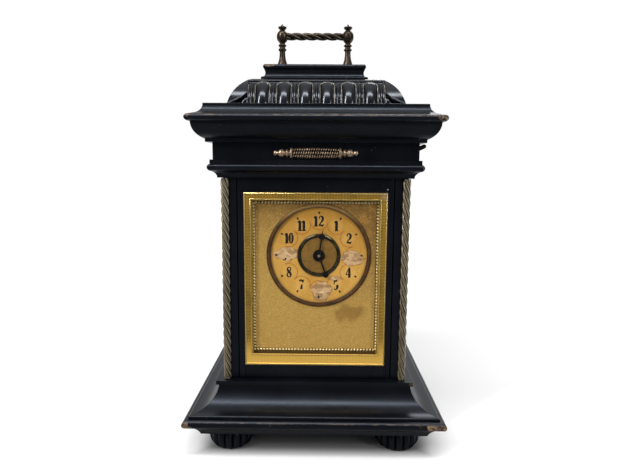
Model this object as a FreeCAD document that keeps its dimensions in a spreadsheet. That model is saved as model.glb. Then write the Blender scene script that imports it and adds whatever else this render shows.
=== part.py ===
"""Bracket clock with a twisted bail handle: case, doors, dial, alarm and spring movement.

Millimetres. +X is the clock's right as seen from the front, the dial faces -Y and +Z is up.
The origin is on the floor, under the middle of the base moulding's rim.
"""
import FreeCAD, Part
import math
import os

import Sketcher

V = FreeCAD.Vector

# ---------------------------------------------------------------- driving dimensions

DIMENSIONS = (
    # case carcase
    ("body_width", 152.0),          # outside the two side panels
    ("body_depth", 137.0),          # door face to door face
    ("body_height", 170.5),         # base top to the soffit above the doors
    ("wall", 11.3),                 # side panels, and the seat of every moulding on them
    ("foot_height", 18.5),
    ("foot_seat_radius", 16.0),
    ("foot_sole_radius", 13.5),
    ("foot_belly_round", 11.8),     # of the rounded side, seen in section
    ("foot_inset", 4.0),            # foot centre inside the panel faces
    ("base_board_thickness", 10.0),
    ("top_board_thickness", 8.0),
    # base moulding: projections beyond the panel faces and heights above its underside
    ("base_height", 41.5),
    ("base_under_out", 18.2),
    ("base_rim_out", 28.6),
    ("base_rim_low", 10.0),
    ("base_rim_high", 17.0),
    ("base_rim_round", 3.75),
    ("base_under_cove", 16.0),
    ("base_lip_out", 25.0),
    ("base_lip_step", 1.0),
    ("base_lip_high", 19.6),
    ("base_lip_round", 1.7),
    ("base_cove_round", 19.4),
    ("base_cove_out", 5.0),
    ("base_slab_out", 7.1),
    ("base_slab_thickness", 3.4),
    # entablature and frieze board
    ("frieze_top", 28.0),           # board height
    ("soffit_out", 3.6),
    ("soffit_fillet", 1.2),
    ("waist_rim_out", 8.2),
    ("waist_rim_low", 5.4),
    ("waist_rim_high", 11.0),
    ("waist_rim_round", 2.9),
    ("waist_cove_round", 6.0),
    ("frieze_out", 6.3),
    ("frieze_fillet_out", 8.45),
    ("frieze_fillet_high", 14.3),
    # cornice
    ("cornice_height", 29.8),
    ("cornice_out", 11.2),
    ("cornice_fillet", 2.5),
    ("ovolo_out", 20.4),
    ("ovolo_high", 15.5),
    ("ovolo_round", 13.4),
    ("cornice_rim_out", 22.2),
    ("cornice_rim_thickness", 5.2),
    ("cornice_rim_round", 2.68),
    ("cornice_cove_low", 22.0),
    ("cornice_cove_high", 28.0),
    ("cornice_cove_start", 18.0),
    ("cornice_cove_round", 7.5),
    ("cornice_top_out", 12.3),
    # dome and cap
    ("dome_inset", 3.8),            # foot of the dome inside the panel faces
    ("dome_rise", 23.9),
    ("dome_run", 18.2),             # how far its side leans in
    ("dome_round", 34.5),
    ("cap_width", 91.1),
    ("cap_depth", 76.1),
    ("cap_height", 14.2),
    ("cap_offset", -2.0),           # the cap sits a little left of the middle
    ("cap_slab", 3.4),
    ("cap_slab_round", 2.0),
    ("cap_slab_inset", 0.6),
    ("cap_neck_inset", 2.6),
    ("cap_neck_low", 4.2),
    ("cap_neck_high", 9.8),
    ("cap_neck_round", 5.0),
    ("cap_rim_inset", 3.0),
    ("cap_rim_round", 2.5),
    # handle
    ("handle_span", 59.8),          # between the two post axes
    ("post_foot_radius", 6.4),
    ("post_foot_height", 2.0),
    ("post_bell_radius", 5.2),
    ("post_bell_height", 8.5),
    ("post_bell_round", 9.0),
    ("post_shoulder_round", 2.6),
    ("post_shaft_radius", 2.7),
    ("post_shaft_low", 10.5),
    ("post_ring_radius", 3.65),
    ("post_ring_low", 18.6),
    ("post_ring_thickness", 1.8),
    ("post_ring_pitch", 3.4),
    ("post_ball_radius", 5.15),
    ("grip_height", 31.0),          # grip axis above the cap
    ("finial_neck_radius", 2.2),
    ("finial_radius", 3.85),
    ("finial_height", 37.4),        # underside of the finial's rim above the cap
    ("finial_rim_thickness", 2.0),
    ("finial_crown_height", 2.4),
    ("post_stud_radius", 2.0),
    ("post_stud_length", 9.0),
    ("grip_radius", 3.35),
    ("grip_socket", 2.6),           # grip end from the post axis
    # columns and frieze ornament
    ("column_radius", 3.3),
    ("column_inset", 1.9),          # column axis inside the side panel's outer face
    ("column_forward", 0.4),        # column axis in front of the door face
    ("ornament_half", 33.9),
    ("ornament_body_half", 19.0),
    ("ornament_radius", 4.7),
    ("ornament_end_radius", 3.6),
    ("ornament_ring_radius", 4.0),
    ("ornament_ball_radius", 3.1),
    ("ornament_ring_width", 3.2),
    ("ornament_ball_at", 8.5),      # ball centre beyond the body's end
    ("ornament_pin_radius", 1.6),
    ("ornament_tip_step", 0.5),
    ("ornament_tip_length", 2.0),
    ("ornament_height", 19.8),      # above the soffit
    # doors
    ("door_gap", 0.3),
    ("door_thickness", 5.0),
    ("stile_face", 5.15),           # wood seen beside the sash
    ("rail_face", 11.4),            # wood seen above and below the sash
    ("door_lip", 4.4),              # wood behind the sash and the glass
    ("glass_cover", 2.5),           # lip covered by the glass
    ("sash_width", 5.6),
    ("sash_thickness", 1.8),
    ("sash_proud", 0.4),
    ("glass_thickness", 1.5),
    ("pivot_radius", 0.7),
    ("pivot_inset", 1.8),           # pivot axis from the door's side edge
    ("pivot_setback", 1.3),         # pivot axis behind the door's face
    ("pivot_reach", 5.0),           # pivot length in the door, and in the case
    ("running_gap", 0.06),          # round every pivot and arbor
    ("door_edge_round", 1.2),
    ("back_door_thickness", 5.0),
    # dial
    ("dial_x", 3.0),                # dial centre, right of the middle
    ("dial_top_gap", 3.4),          # bezel below the sash's inner edge
    ("mask_gap", 0.3),              # behind the door
    ("mask_thickness", 1.2),
    ("mask_cover", 1.0),            # hidden behind the sash, all round
    ("mask_opening_radius", 41.0),
    ("dial_radius", 42.0),
    ("dial_thickness", 1.0),
    ("dial_hole_radius", 3.3),
    ("bezel_radius", 44.0),
    ("bezel_bore_radius", 40.3),
    ("bezel_thickness", 1.3),
    ("dial_board_thickness", 8.0),
    ("disc_radius", 14.6),
    ("disc_thickness", 0.6),
    ("disc_stand", 0.5),            # disc in front of the dial
    ("disc_pipe_radius", 2.95),
    ("hour_pipe_radius", 2.05),
    ("arbor_radius", 1.2),
    ("arbor_nose", 3.2),            # arbor end in front of the dial
    ("hour_hand_length", 20.2),
    ("hour_hand_angle", 160.0),     # clockwise from twelve
    ("hour_moon_at", 17.2),
    ("hour_moon_radius", 2.6),
    ("hour_hub_radius", 5.0),
    ("hour_hand_stand", 1.5),
    ("minute_hand_length", 24.3),
    ("minute_hand_angle", 8.5),
    ("minute_moon_at", 16.3),
    ("minute_moon_radius", 2.6),
    ("minute_hub_radius", 3.2),
    ("minute_hand_stand", 2.4),
    ("hand_thickness", 0.5),
    ("hand_width", 1.3),
    # movement
    ("plate_thickness", 2.0),
    ("plate_width", 90.0),
    ("plate_low", 52.0),            # plate below the centre arbor
    ("plate_high", 44.0),           # plate above the centre arbor
    ("plate_space", 26.0),          # between the plates
    ("pillar_radius", 3.0),
    ("pillar_inset", 6.0),
    ("wheel_thickness", 1.2),
    ("great_wheel_thickness", 1.6),
    ("great_wheel_setback", 3.0),   # behind the front plate
    ("pinion_length", 4.0),
    ("pinion_overhang", 1.2),       # pinion in front of the wheel that drives it
    ("centre_wheel_setback", 5.2),  # centre wheel's front from the back plate
    ("hour_wheel_setback", 1.9),    # hour wheel's back behind the dial
    ("motion_gap", 0.9),            # between the hour wheel and the minute wheel
    ("shoulder_gap", 0.2),          # end play between a shoulder and its plate
    ("minute_pinion_setback", 0.5),
    ("train_module", 0.6),
    ("great_wheel_teeth", 72),
    ("centre_pinion_teeth", 12),
    ("centre_wheel_teeth", 60),
    ("centre_wheel_module", 0.5),
    ("cannon_module", 0.5),
    ("cannon_teeth", 10),
    ("minute_wheel_teeth", 30),
    ("hour_module", 0.4),
    ("minute_pinion_teeth", 10),
    ("hour_wheel_teeth", 40),
    ("minute_wheel_bearing", 40.0),  # direction of the minute wheel's stud, degrees from +X
    ("minute_arbor_radius", 0.8),
    ("barrel_radius", 18.5),
    ("barrel_length", 15.0),
    ("winding_arbor_radius", 2.4),
    ("key_width", 26.0),
    ("key_height", 12.0),
    ("key_thickness", 2.2),
    ("key_hub_radius", 4.0),
    ("key_hub_length", 8.0),
    ("key_stand", 1.0),             # key and knob behind the back plate
    ("knob_radius", 7.0),
    ("knob_length", 5.0),
    ("platform_width", 26.0),
    ("platform_height", 20.0),
    ("platform_depth", 6.0),
    ("platform_rise", 33.0),        # platform centre above the centre arbor
    ("balance_radius", 8.0),
    ("balance_rim", 1.2),
    ("balance_thickness", 1.2),
    ("balance_stand", 1.5),
    ("staff_radius", 0.5),
    ("staff_sink", 1.3),            # staff end in its bearing
    ("balance_hub_radius", 1.4),
    ("cock_thickness", 1.5),
    ("cock_width", 6.0),
    ("cock_post_thickness", 3.0),
    # alarm
    ("bell_radius", 22.0),
    ("bell_wall", 1.6),
    ("bell_drop", 22.0),            # bell crown below the top board
    ("bell_x", 22.0),
    ("bell_y", -8.0),
    ("bell_stem_radius", 2.5),
    ("bell_stem_sink", 0.15),       # the stem's joint below the crown
    ("hammer_pivot_x", -28.0),
    ("hammer_pivot_drop", 8.0),     # pivot below the plates' top edge
    ("hammer_arm_radius", 1.0),
    ("hammer_head_radius", 3.5),
    ("hammer_head_length", 8.0),
    ("hammer_hub_radius", 3.0),
    ("hammer_hub_length", 4.0),
    ("hammer_hub_gap", 0.2),        # behind the back plate
    ("hammer_height", 3.0),         # head centre above the bell's lip
    ("hammer_arm_sink", 2.0),       # arm axis from the head's outer end
    ("hammer_gap", 3.0),            # head clear of the bell at rest
    ("lever_y", -40.0),
    ("lever_pivot_out", -4.0),      # pivot inside the panel face
    ("lever_pivot_rise", 17.5),     # pivot above the soffit
    ("lever_thickness", 3.0),
    ("lever_height", 3.6),
    ("lever_reach", 24.3),          # pivot to finger tip
    ("lever_tail", 12.0),
    ("lever_tilt", 25.0),           # finger end up, degrees
    ("lever_pin_radius", 1.0),
    ("lever_pin_reach", 2.0),       # pin beyond each side of the blade
    ("lever_pin_gap", 0.1),         # at each end of the pin
    ("lever_slot_gap", 0.3),
    ("lever_slot_reach", 5.0),      # slot cut beyond both ends of the blade
    ("lever_travel", 25.0),         # finger end down from rest, degrees
)


class Size:
    """A number from the sheet together with the expression that gives it."""

    def __init__(self, value, text):
        self.value = float(value)
        self.text = text

    @staticmethod
    def of(thing):
        if isinstance(thing, Size):
            return thing
        return Size(thing, repr(float(thing)))

    def _join(self, other, sign, value):
        return Size(value, "(%s %s %s)" % (self.text, sign, Size.of(other).text))

    def __add__(self, other):
        return self._join(other, "+", self.value + Size.of(other).value)

    def __sub__(self, other):
        return self._join(other, "-", self.value - Size.of(other).value)

    def __mul__(self, other):
        return self._join(other, "*", self.value * Size.of(other).value)

    def __truediv__(self, other):
        return self._join(other, "/", self.value / Size.of(other).value)

    def __radd__(self, other):
        return Size.of(other) + self

    def __rsub__(self, other):
        return Size.of(other) - self

    def __rmul__(self, other):
        return Size.of(other) * self

    def __neg__(self):
        return Size(-self.value, "(0 - %s)" % self.text)

    def __float__(self):
        return self.value

    def root(self):
        return Size(math.sqrt(self.value), "sqrt(%s)" % self.text)


doc = FreeCAD.newDocument("BracketClock")
sheet = doc.addObject("Spreadsheet::Sheet", "Sizes")
D = {}
for row, (alias, value) in enumerate(DIMENSIONS, start=1):
    sheet.set("A%d" % row, alias)
    sheet.set("B%d" % row, repr(value))
    sheet.setAlias("B%d" % row, alias)
    D[alias] = Size(value, "Sizes." + alias)
doc.recompute()

NODES = {}
ON_AXIS = 1e-9              # a corner nearer than this to an axis lies on it


# ---------------------------------------------------------------- construction helpers

def bind(obj, path, size):
    obj.setExpression(path, Size.of(size).text)


def node(obj, label):
    """Register a finished object as the sub-part called label."""
    obj.Label = label
    NODES[label] = obj
    return obj


def place(obj, x=0.0, y=0.0, z=0.0, axis=V(0, 0, 1), angle=0.0):
    """Put an object at (x, y, z), turned about axis, with its place bound to the sheet."""
    point = V(float(x), float(y), float(z))
    obj.Placement = FreeCAD.Placement(point, FreeCAD.Rotation(axis, float(angle)))
    for letter, size in zip("xyz", (x, y, z)):
        bind(obj, ".Placement.Base." + letter, size)
    return obj


def box(label, x, y, z):
    """A board between the (low, high) pairs x, y and z."""
    obj = doc.addObject("Part::Box", label)
    obj.Label = label
    for name, (low, high) in zip(("Length", "Width", "Height"), (x, y, z)):
        setattr(obj, name, float(high) - float(low))
        bind(obj, name, Size.of(high) - low)
    return place(obj, x[0], y[0], z[0])


def rod(label, radius, length, x, y, z, direction="Z"):
    """A cylinder that starts at (x, y, z) and runs along +X, +Y or +Z."""
    obj = doc.addObject("Part::Cylinder", label)
    obj.Label = label
    obj.Radius = float(radius)
    obj.Height = float(length)
    bind(obj, "Radius", radius)
    bind(obj, "Height", length)
    turn = {"X": (V(0, 1, 0), 90), "Y": (V(1, 0, 0), -90), "Z": (V(0, 0, 1), 0)}[direction]
    return place(obj, x, y, z, turn[0], turn[1])


def cut(label, base, tool):
    obj = doc.addObject("Part::Cut", label)
    obj.Label = label
    obj.Base = base
    obj.Tool = tool
    return obj


def common(label, base, tool):
    obj = doc.addObject("Part::Common", label)
    obj.Label = label
    obj.Base = base
    obj.Tool = tool
    return obj


def fuse(label, *pieces):
    obj = doc.addObject("Part::MultiFuse", label)
    obj.Label = label
    obj.Shapes = list(pieces)
    return obj


def origin_plane(body, role):
    return next(f for f in body.Origin.OriginFeatures if f.Role == role)


def arc_between(a, b, radius, turn):
    """Centre of the arc of this radius from a to b, turning left (+1) or right (-1)."""
    mid = (a + b) * 0.5
    chord = b - a
    rise = math.sqrt(max(radius * radius - chord.Length ** 2 / 4, 0.0))
    side = V(-chord.y, chord.x, 0).normalize()
    return mid + side * (rise * turn)


def outline(body, role, corners, name):
    """A closed sketch. A corner is (u, v), or (u, v, radius, turn) when an arc leads to it."""
    sketch = body.newObject("Sketcher::SketchObject", name)
    sketch.AttachmentSupport = [(origin_plane(body, role), "")]
    sketch.MapMode = "FlatFace"
    points = [V(float(c[0]), float(c[1]), 0) for c in corners]
    heads = []
    tails = []
    for index, corner in enumerate(corners):
        start, end = points[index - 1], points[index]
        if len(corner) == 2:
            edge = sketch.addGeometry(Part.LineSegment(start, end), False)
            heads.append((edge, 1))
            tails.append((edge, 2))
            continue
        radius, turn = corner[2], corner[3]
        centre = arc_between(start, end, float(radius), turn)
        first, last = (start, end) if turn > 0 else (end, start)
        angles = [math.atan2(p.y - centre.y, p.x - centre.x) for p in (first, last)]
        circle = Part.Circle(centre, V(0, 0, 1), float(radius))
        edge = sketch.addGeometry(Part.ArcOfCircle(circle, angles[0], angles[1]), False)
        heads.append((edge, 1 if turn > 0 else 2))
        tails.append((edge, 2 if turn > 0 else 1))
        rule = sketch.addConstraint(Sketcher.Constraint("Radius", edge, float(radius)))
        bind(sketch, "Constraints[%d]" % rule, radius)
    for index, corner in enumerate(corners):
        follower = heads[(index + 1) % len(corners)]
        sketch.addConstraint(Sketcher.Constraint("Coincident", *tails[index], *follower))
        for kind, axis, size in (("DistanceX", -2, corner[0]), ("DistanceY", -1, corner[1])):
            pin_corner(sketch, kind, axis, tails[index], Size.of(size))
    return sketch


def pin_corner(sketch, kind, axis, point, size):
    """Hold one corner's distance from the sketch's origin at size."""
    if abs(size.value) < ON_AXIS:
        sketch.addConstraint(Sketcher.Constraint("PointOnObject", *point, axis))
        return
    ends = (-1, 1, *point) if size.value > 0 else (*point, -1, 1)
    rule = sketch.addConstraint(Sketcher.Constraint(kind, *ends, abs(size.value)))
    bind(sketch, "Constraints[%d]" % rule, size if size.value > 0 else -size)


def turned(label, corners, role="XZ_Plane", axis="V_Axis", angle=360.0, reverse=False):
    """A body turned from a half section whose u is the radius and v the height."""
    body = doc.addObject("PartDesign::Body", label)
    body.Label = label
    sketch = outline(body, role, corners, label + "_section")
    turn = body.newObject("PartDesign::Revolution", label + "_turned")
    turn.Profile = sketch
    turn.ReferenceAxis = (sketch, [axis])
    turn.Angle = angle
    turn.Reversed = reverse
    body.Tip = turn
    return body


def extruded(label, corners, length, role="XY_Plane", symmetric=False, reverse=False):
    """A body cut from a board: a flat outline padded square to its plane."""
    body = doc.addObject("PartDesign::Body", label)
    body.Label = label
    sketch = outline(body, role, corners, label + "_outline")
    pad = body.newObject("PartDesign::Pad", label + "_pad")
    pad.Profile = sketch
    pad.SideType = "Symmetric" if symmetric else "One side"
    pad.Reversed = reverse
    pad.Length = float(length)
    bind(pad, "Length", length)
    body.Tip = pad
    return body


def moved(shape, x=0.0, y=0.0, z=0.0, axis=V(0, 0, 1), angle=0.0):
    """A copy of shape turned about axis and then shifted, with its own geometry moved."""
    place_there = FreeCAD.Placement(V(x, y, z), FreeCAD.Rotation(axis, angle))
    return shape.transformed(place_there.toMatrix(), copy=True)


def crown_round(radius, rise):
    """Radius of the ball that caps a stem of this radius and rises this far above it."""
    return (radius * radius + rise * rise) / (rise * 2)


def solid(label, shape, x, y, z):
    """A toothed or freely curved piece, made of its shape and placed from the sheet."""
    obj = doc.addObject("Part::Feature", label)
    obj.Label = label
    obj.Shape = shape
    return place(obj, x, y, z)


# ---------------------------------------------------------------- levels and faces

HALF_WIDTH = D["body_width"] / 2
HALF_DEPTH = D["body_depth"] / 2
BASE_LOW = D["foot_height"]
BODY_LOW = BASE_LOW + D["base_height"]
BODY_TOP = BODY_LOW + D["body_height"]
CORNICE_LOW = BODY_TOP + D["frieze_top"]
CORNICE_TOP = CORNICE_LOW + D["cornice_height"]
CAP_LOW = CORNICE_TOP + D["dome_rise"]
CAP_TOP = CAP_LOW + D["cap_height"]
INNER_X = HALF_WIDTH - D["wall"]
INNER_Y = HALF_DEPTH - D["wall"]


# ---------------------------------------------------------------- mitred mouldings

# Each corner is (projection beyond the panel face, height in the moulding[, arc radius, turn]).
def base_profile():
    z_slab = D["base_height"] - D["base_slab_thickness"]
    return (
        (-D["wall"], 0),
        (D["base_under_out"], 0),
        (D["base_rim_out"], D["base_rim_low"], D["base_under_cove"], -1),
        (D["base_rim_out"], D["base_rim_high"], D["base_rim_round"], 1),
        (D["base_lip_out"] + D["base_lip_step"], D["base_rim_high"]),
        (D["base_lip_out"], D["base_lip_high"], D["base_lip_round"], 1),
        (D["base_cove_out"], z_slab, D["base_cove_round"], -1),
        (D["base_slab_out"], z_slab),
        (D["base_slab_out"], D["base_height"]),
        (-D["wall"], D["base_height"]),
    )


def frieze_profile():
    return (
        (-D["wall"], 0),
        (D["soffit_out"], 0),
        (D["soffit_out"], D["soffit_fillet"]),
        (D["waist_rim_out"], D["waist_rim_low"], D["waist_cove_round"], -1),
        (D["waist_rim_out"], D["waist_rim_high"], D["waist_rim_round"], 1),
        (D["frieze_fillet_out"], D["waist_rim_high"]),
        (D["frieze_fillet_out"], D["frieze_fillet_high"]),
        (D["frieze_out"], D["frieze_fillet_high"]),
        (D["frieze_out"], D["frieze_top"]),
        (-D["wall"], D["frieze_top"]),
    )


def cornice_profile():
    rim_top = D["ovolo_high"] + D["cornice_rim_thickness"]
    return (
        (-D["wall"], 0),
        (D["cornice_out"], 0),
        (D["cornice_out"], D["cornice_fillet"]),
        (D["ovolo_out"], D["ovolo_high"], D["ovolo_round"], 1),
        (D["cornice_rim_out"], D["ovolo_high"]),
        (D["cornice_rim_out"], rim_top, D["cornice_rim_round"], 1),
        (D["cornice_cove_start"], D["cornice_cove_low"]),
        (D["cornice_top_out"], D["cornice_cove_high"], D["cornice_cove_round"], -1),
        (D["cornice_top_out"], D["cornice_height"]),
        (-D["wall"], D["cornice_height"]),
    )


SIDES = (
    # name, outward distance of the panel face, half length of the run there, turn about Z
    ("back", HALF_DEPTH, HALF_WIDTH, 0),
    ("left", HALF_WIDTH, HALF_DEPTH, 90),
    ("front", HALF_DEPTH, HALF_WIDTH, 180),
    ("right", HALF_WIDTH, HALF_DEPTH, -90),
)

MOST_PROJECTION = D["base_rim_out"] + D["base_rim_round"]    # beyond the furthest nose


def moulding_run(label, profile, side, low):
    """One side of a mitred frame: the profile planed along a batten, ends cut at 45 degrees."""
    _, face, half, turn = side
    corners = [(face + c[0], c[1], *c[2:]) for c in profile]
    span = (half + MOST_PROJECTION) * 2
    bar = extruded(label + "_bar", corners, span, "YZ_Plane", symmetric=True)
    mitre = doc.addObject("Part::Wedge", label + "_mitre")
    outer = face + MOST_PROJECTION
    inner = face - D["wall"]
    ends = (half - D["wall"], half + MOST_PROJECTION)
    height = profile[-1][1]
    limits = (("Ymin", inner), ("Ymax", outer), ("Xmin", -ends[0]), ("Xmax", ends[0]),
              ("X2min", -ends[1]), ("X2max", ends[1]), ("Zmin", Size.of(0)), ("Zmax", height),
              ("Z2min", Size.of(0)), ("Z2max", height))
    for name, size in limits:
        setattr(mitre, name, float(size))
        bind(mitre, name, size)
    return place(common(label, bar, mitre), 0, 0, low, V(0, 0, 1), turn)


# ---------------------------------------------------------------- case

def make_feet():
    corners = (
        (0, 0),
        (D["foot_sole_radius"], 0),
        (D["foot_seat_radius"], D["foot_height"], D["foot_belly_round"], 1),
        (0, D["foot_height"]),
    )
    for depth, y_sign in (("front", -1), ("back", 1)):
        for hand, x_sign in (("left", -1), ("right", 1)):
            foot = turned("foot_%s_%s" % (depth, hand), corners)
            x = (HALF_WIDTH - D["foot_inset"]) * x_sign
            y = (HALF_DEPTH - D["foot_inset"]) * y_sign
            node(place(foot, x, y, 0), foot.Label)


def make_boards():
    floor = (BASE_LOW, BASE_LOW + D["base_board_thickness"])
    node(box("base_board", (-INNER_X, INNER_X), (-INNER_Y, INNER_Y), floor), "base_board")
    ceiling = (CORNICE_TOP - D["top_board_thickness"], CORNICE_TOP)
    node(box("top_board", (-INNER_X, INNER_X), (-INNER_Y, INNER_Y), ceiling), "top_board")


def column_place(hand):
    return (HALF_WIDTH - D["column_inset"]) * hand, -HALF_DEPTH - D["column_forward"]


def make_sides_and_columns():
    """Side panels, rebated at the front corner for the twisted columns."""
    rebate_x = D["column_inset"] + D["column_radius"]
    rebate_y = D["column_radius"] - D["column_forward"]
    corners = (
        (INNER_X, -HALF_DEPTH),
        (HALF_WIDTH - rebate_x, -HALF_DEPTH),
        (HALF_WIDTH - rebate_x, -HALF_DEPTH + rebate_y),
        (HALF_WIDTH, -HALF_DEPTH + rebate_y),
        (HALF_WIDTH, HALF_DEPTH),
        (INNER_X, HALF_DEPTH),
    )
    for hand, sign in (("right", 1), ("left", -1)):
        label = "side_panel_" + hand
        mirrored = corners if sign > 0 else [(-x, y) for x, y in reversed(corners)]
        panel = extruded(label, mirrored, D["body_height"])
        node(place(panel, 0, 0, BODY_LOW), label)
        x, y = column_place(sign)
        label = "column_" + hand
        node(rod(label, D["column_radius"], D["body_height"], x, y, BODY_LOW), label)


def make_mouldings():
    profiles = (("base_moulding", base_profile(), BASE_LOW),
                ("entablature", frieze_profile(), BODY_TOP),
                ("cornice", cornice_profile(), CORNICE_LOW))
    runs = {}
    for name, profile, low in profiles:
        for side in SIDES:
            label = "%s_%s" % (name, side[0])
            runs[label] = moulding_run(label + "_run", profile, side, low)
    return runs


def make_dome():
    """Mitred dome: the arched section planed in both directions and crossed."""
    def arch(half):
        foot = half - D["dome_inset"]
        crown = foot - D["dome_run"]
        return (
            (foot, 0),
            (crown, D["dome_rise"], D["dome_round"], 1),
            (-crown, D["dome_rise"]),
            (-foot, 0, D["dome_round"], 1),
        )
    across = extruded("dome_across", arch(HALF_WIDTH), D["body_depth"], "XZ_Plane", symmetric=True)
    along = extruded("dome_along", arch(HALF_DEPTH), D["body_width"], "YZ_Plane", symmetric=True)
    node(place(common("gadrooned_dome", across, along), 0, 0, CORNICE_TOP), "gadrooned_dome")


def make_cap():
    def section(half):
        rise = (
            (half - D["cap_slab_inset"], 0),
            (half - D["cap_slab_inset"], D["cap_slab"], D["cap_slab_round"], 1),
            (half - D["cap_neck_inset"], D["cap_neck_low"]),
            (half - D["cap_neck_inset"], D["cap_neck_high"], D["cap_neck_round"], -1),
            (half - D["cap_rim_inset"], D["cap_neck_high"]),
            (half - D["cap_rim_inset"], D["cap_height"], D["cap_rim_round"], 1),
        )
        # The left half is the right half read backwards: each arc moves on to its other end.
        left = []
        for index in range(len(rise) - 1, -1, -1):
            arc = rise[index + 1][2:] if index + 1 < len(rise) else ()
            left.append((-rise[index][0], rise[index][1], *arc))
        return rise + tuple(left)
    across = extruded("cap_across", section(D["cap_width"] / 2), D["cap_depth"], "XZ_Plane", True)
    along = extruded("cap_along", section(D["cap_depth"] / 2), D["cap_width"], "YZ_Plane", True)
    block = place(common("cap_blank", across, along), D["cap_offset"], 0, CAP_LOW)
    studs = [rod("cap_hole_" + hand, D["post_stud_radius"], D["post_stud_length"],
                 D["cap_offset"] + D["handle_span"] / 2 * sign, 0,
                 CAP_TOP - D["post_stud_length"])
             for hand, sign in (("left", -1), ("right", 1))]
    node(cut("cap_block", block, fuse("cap_holes", *studs)), "cap_block")


# ---------------------------------------------------------------- handle and ornament

def make_handle():
    ring_top = D["post_ring_low"] + D["post_ring_thickness"]
    upper_ring = D["post_ring_low"] + D["post_ring_pitch"]
    neck = D["finial_neck_radius"]
    ball = D["post_ball_radius"]
    ball_rise = (ball * ball - neck * neck).root()
    tip = crown_round(D["finial_radius"], D["finial_crown_height"])
    finial_rim = D["finial_height"] + D["finial_rim_thickness"]
    section = (
        (0, -D["post_stud_length"]),
        (D["post_stud_radius"], -D["post_stud_length"]),
        (D["post_stud_radius"], 0),
        (D["post_foot_radius"], 0),
        (D["post_foot_radius"], D["post_foot_height"]),
        (D["post_bell_radius"], D["post_bell_height"], D["post_bell_round"], -1),
        (D["post_shaft_radius"], D["post_shaft_low"], D["post_shoulder_round"], 1),
        (D["post_shaft_radius"], D["post_ring_low"]),
        (D["post_ring_radius"], D["post_ring_low"]),
        (D["post_ring_radius"], ring_top),
        (D["post_shaft_radius"], ring_top),
        (D["post_shaft_radius"], upper_ring),
        (D["post_ring_radius"], upper_ring),
        (D["post_ring_radius"], upper_ring + D["post_ring_thickness"]),
        (neck, upper_ring + D["post_ring_thickness"]),
        (neck, D["grip_height"] - ball_rise),
        (neck, D["grip_height"] + ball_rise, ball, 1),
        (neck, D["finial_height"]),
        (D["finial_radius"], D["finial_height"]),
        (D["finial_radius"], finial_rim),
        (0, finial_rim + D["finial_crown_height"], tip, 1),
    )
    reach = D["handle_span"] / 2
    grip_z = CAP_TOP + D["grip_height"]
    for hand, sign in (("left", -1), ("right", 1)):
        x = D["cap_offset"] + reach * sign
        post = place(turned("post_%s_blank" % hand, section), x, 0, CAP_TOP)
        start = x + D["grip_socket"] if sign < 0 else x - D["grip_socket"] - D["post_ball_radius"]
        socket = rod("grip_socket_" + hand, D["grip_radius"], D["post_ball_radius"],
                     start, 0, grip_z, "X")
        node(cut("handle_post_" + hand, post, socket), "handle_post_" + hand)
    grip = rod("handle_bar", D["grip_radius"], D["handle_span"] - D["grip_socket"] * 2,
               D["cap_offset"] - reach + D["grip_socket"], 0, grip_z, "X")
    node(grip, "handle_bar")


def make_ornament():
    """Half-round baluster laid along the front of the frieze, alike on both sides."""
    body = D["ornament_body_half"]
    end = D["ornament_end_radius"]
    ring_end = body + D["ornament_ring_width"]
    pin = D["ornament_pin_radius"]
    ball = D["ornament_ball_radius"]
    ball_rise = (ball * ball - pin * pin).root()
    ball_at = body + D["ornament_ball_at"]
    tip_start = D["ornament_half"] - D["ornament_tip_length"]
    tip_radius = pin + D["ornament_tip_step"]
    bulge = D["ornament_radius"] - end
    half_section = (
        (end, body),
        (D["ornament_ring_radius"], body),
        (D["ornament_ring_radius"], ring_end),
        (pin, ring_end),
        (pin, ball_at - ball_rise),
        (pin, ball_at + ball_rise, ball, 1),
        (pin, tip_start),
        (tip_radius, tip_start),
        (0, D["ornament_half"], crown_round(tip_radius, D["ornament_tip_length"]), 1),
    )
    # The other half is the same steps read backwards, each arc moved on to its other end.
    other = []
    for index in range(len(half_section) - 1, -1, -1):
        arc = half_section[index + 1][2:] if index + 1 < len(half_section) else ()
        other.append((half_section[index][0], -half_section[index][1], *arc))
    belly = (*half_section[0], crown_round(body, bulge), 1)
    section = other + [belly] + list(half_section[1:])
    piece = turned("frieze_ornament", section, angle=180.0, reverse=True)
    face = -(HALF_DEPTH + D["frieze_out"])
    place(piece, 0, face, BODY_TOP + D["ornament_height"], V(0, 1, 0), 90)
    node(piece, "frieze_ornament")


# ---------------------------------------------------------------- doors

DOOR_X = INNER_X - D["door_gap"]
DOOR_LOW = BODY_LOW + D["door_gap"]
DOOR_TOP = BODY_TOP - D["door_gap"]
DOOR_FACE = -HALF_DEPTH
DOOR_BACK = DOOR_FACE + D["door_thickness"]
SASH_X = DOOR_X - D["stile_face"]
SASH_LOW = DOOR_LOW + D["rail_face"]
SASH_TOP = DOOR_TOP - D["rail_face"]
SASH_FACE = DOOR_FACE - D["sash_proud"]
SASH_BACK = SASH_FACE + D["sash_thickness"]
GLASS_BACK = SASH_BACK + D["glass_thickness"]
LIP_X = SASH_X - D["door_lip"]
LIP_LOW = SASH_LOW + D["door_lip"]
LIP_TOP = SASH_TOP - D["door_lip"]
GLASS_X = LIP_X + D["glass_cover"]
GLASS_LOW = LIP_LOW - D["glass_cover"]
GLASS_TOP = LIP_TOP + D["glass_cover"]
PIVOT_X = DOOR_X - D["pivot_inset"]
PIVOT_Y = DOOR_FACE + D["pivot_setback"]
BACK_PIVOT_Y = HALF_DEPTH - D["pivot_setback"]


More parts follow.
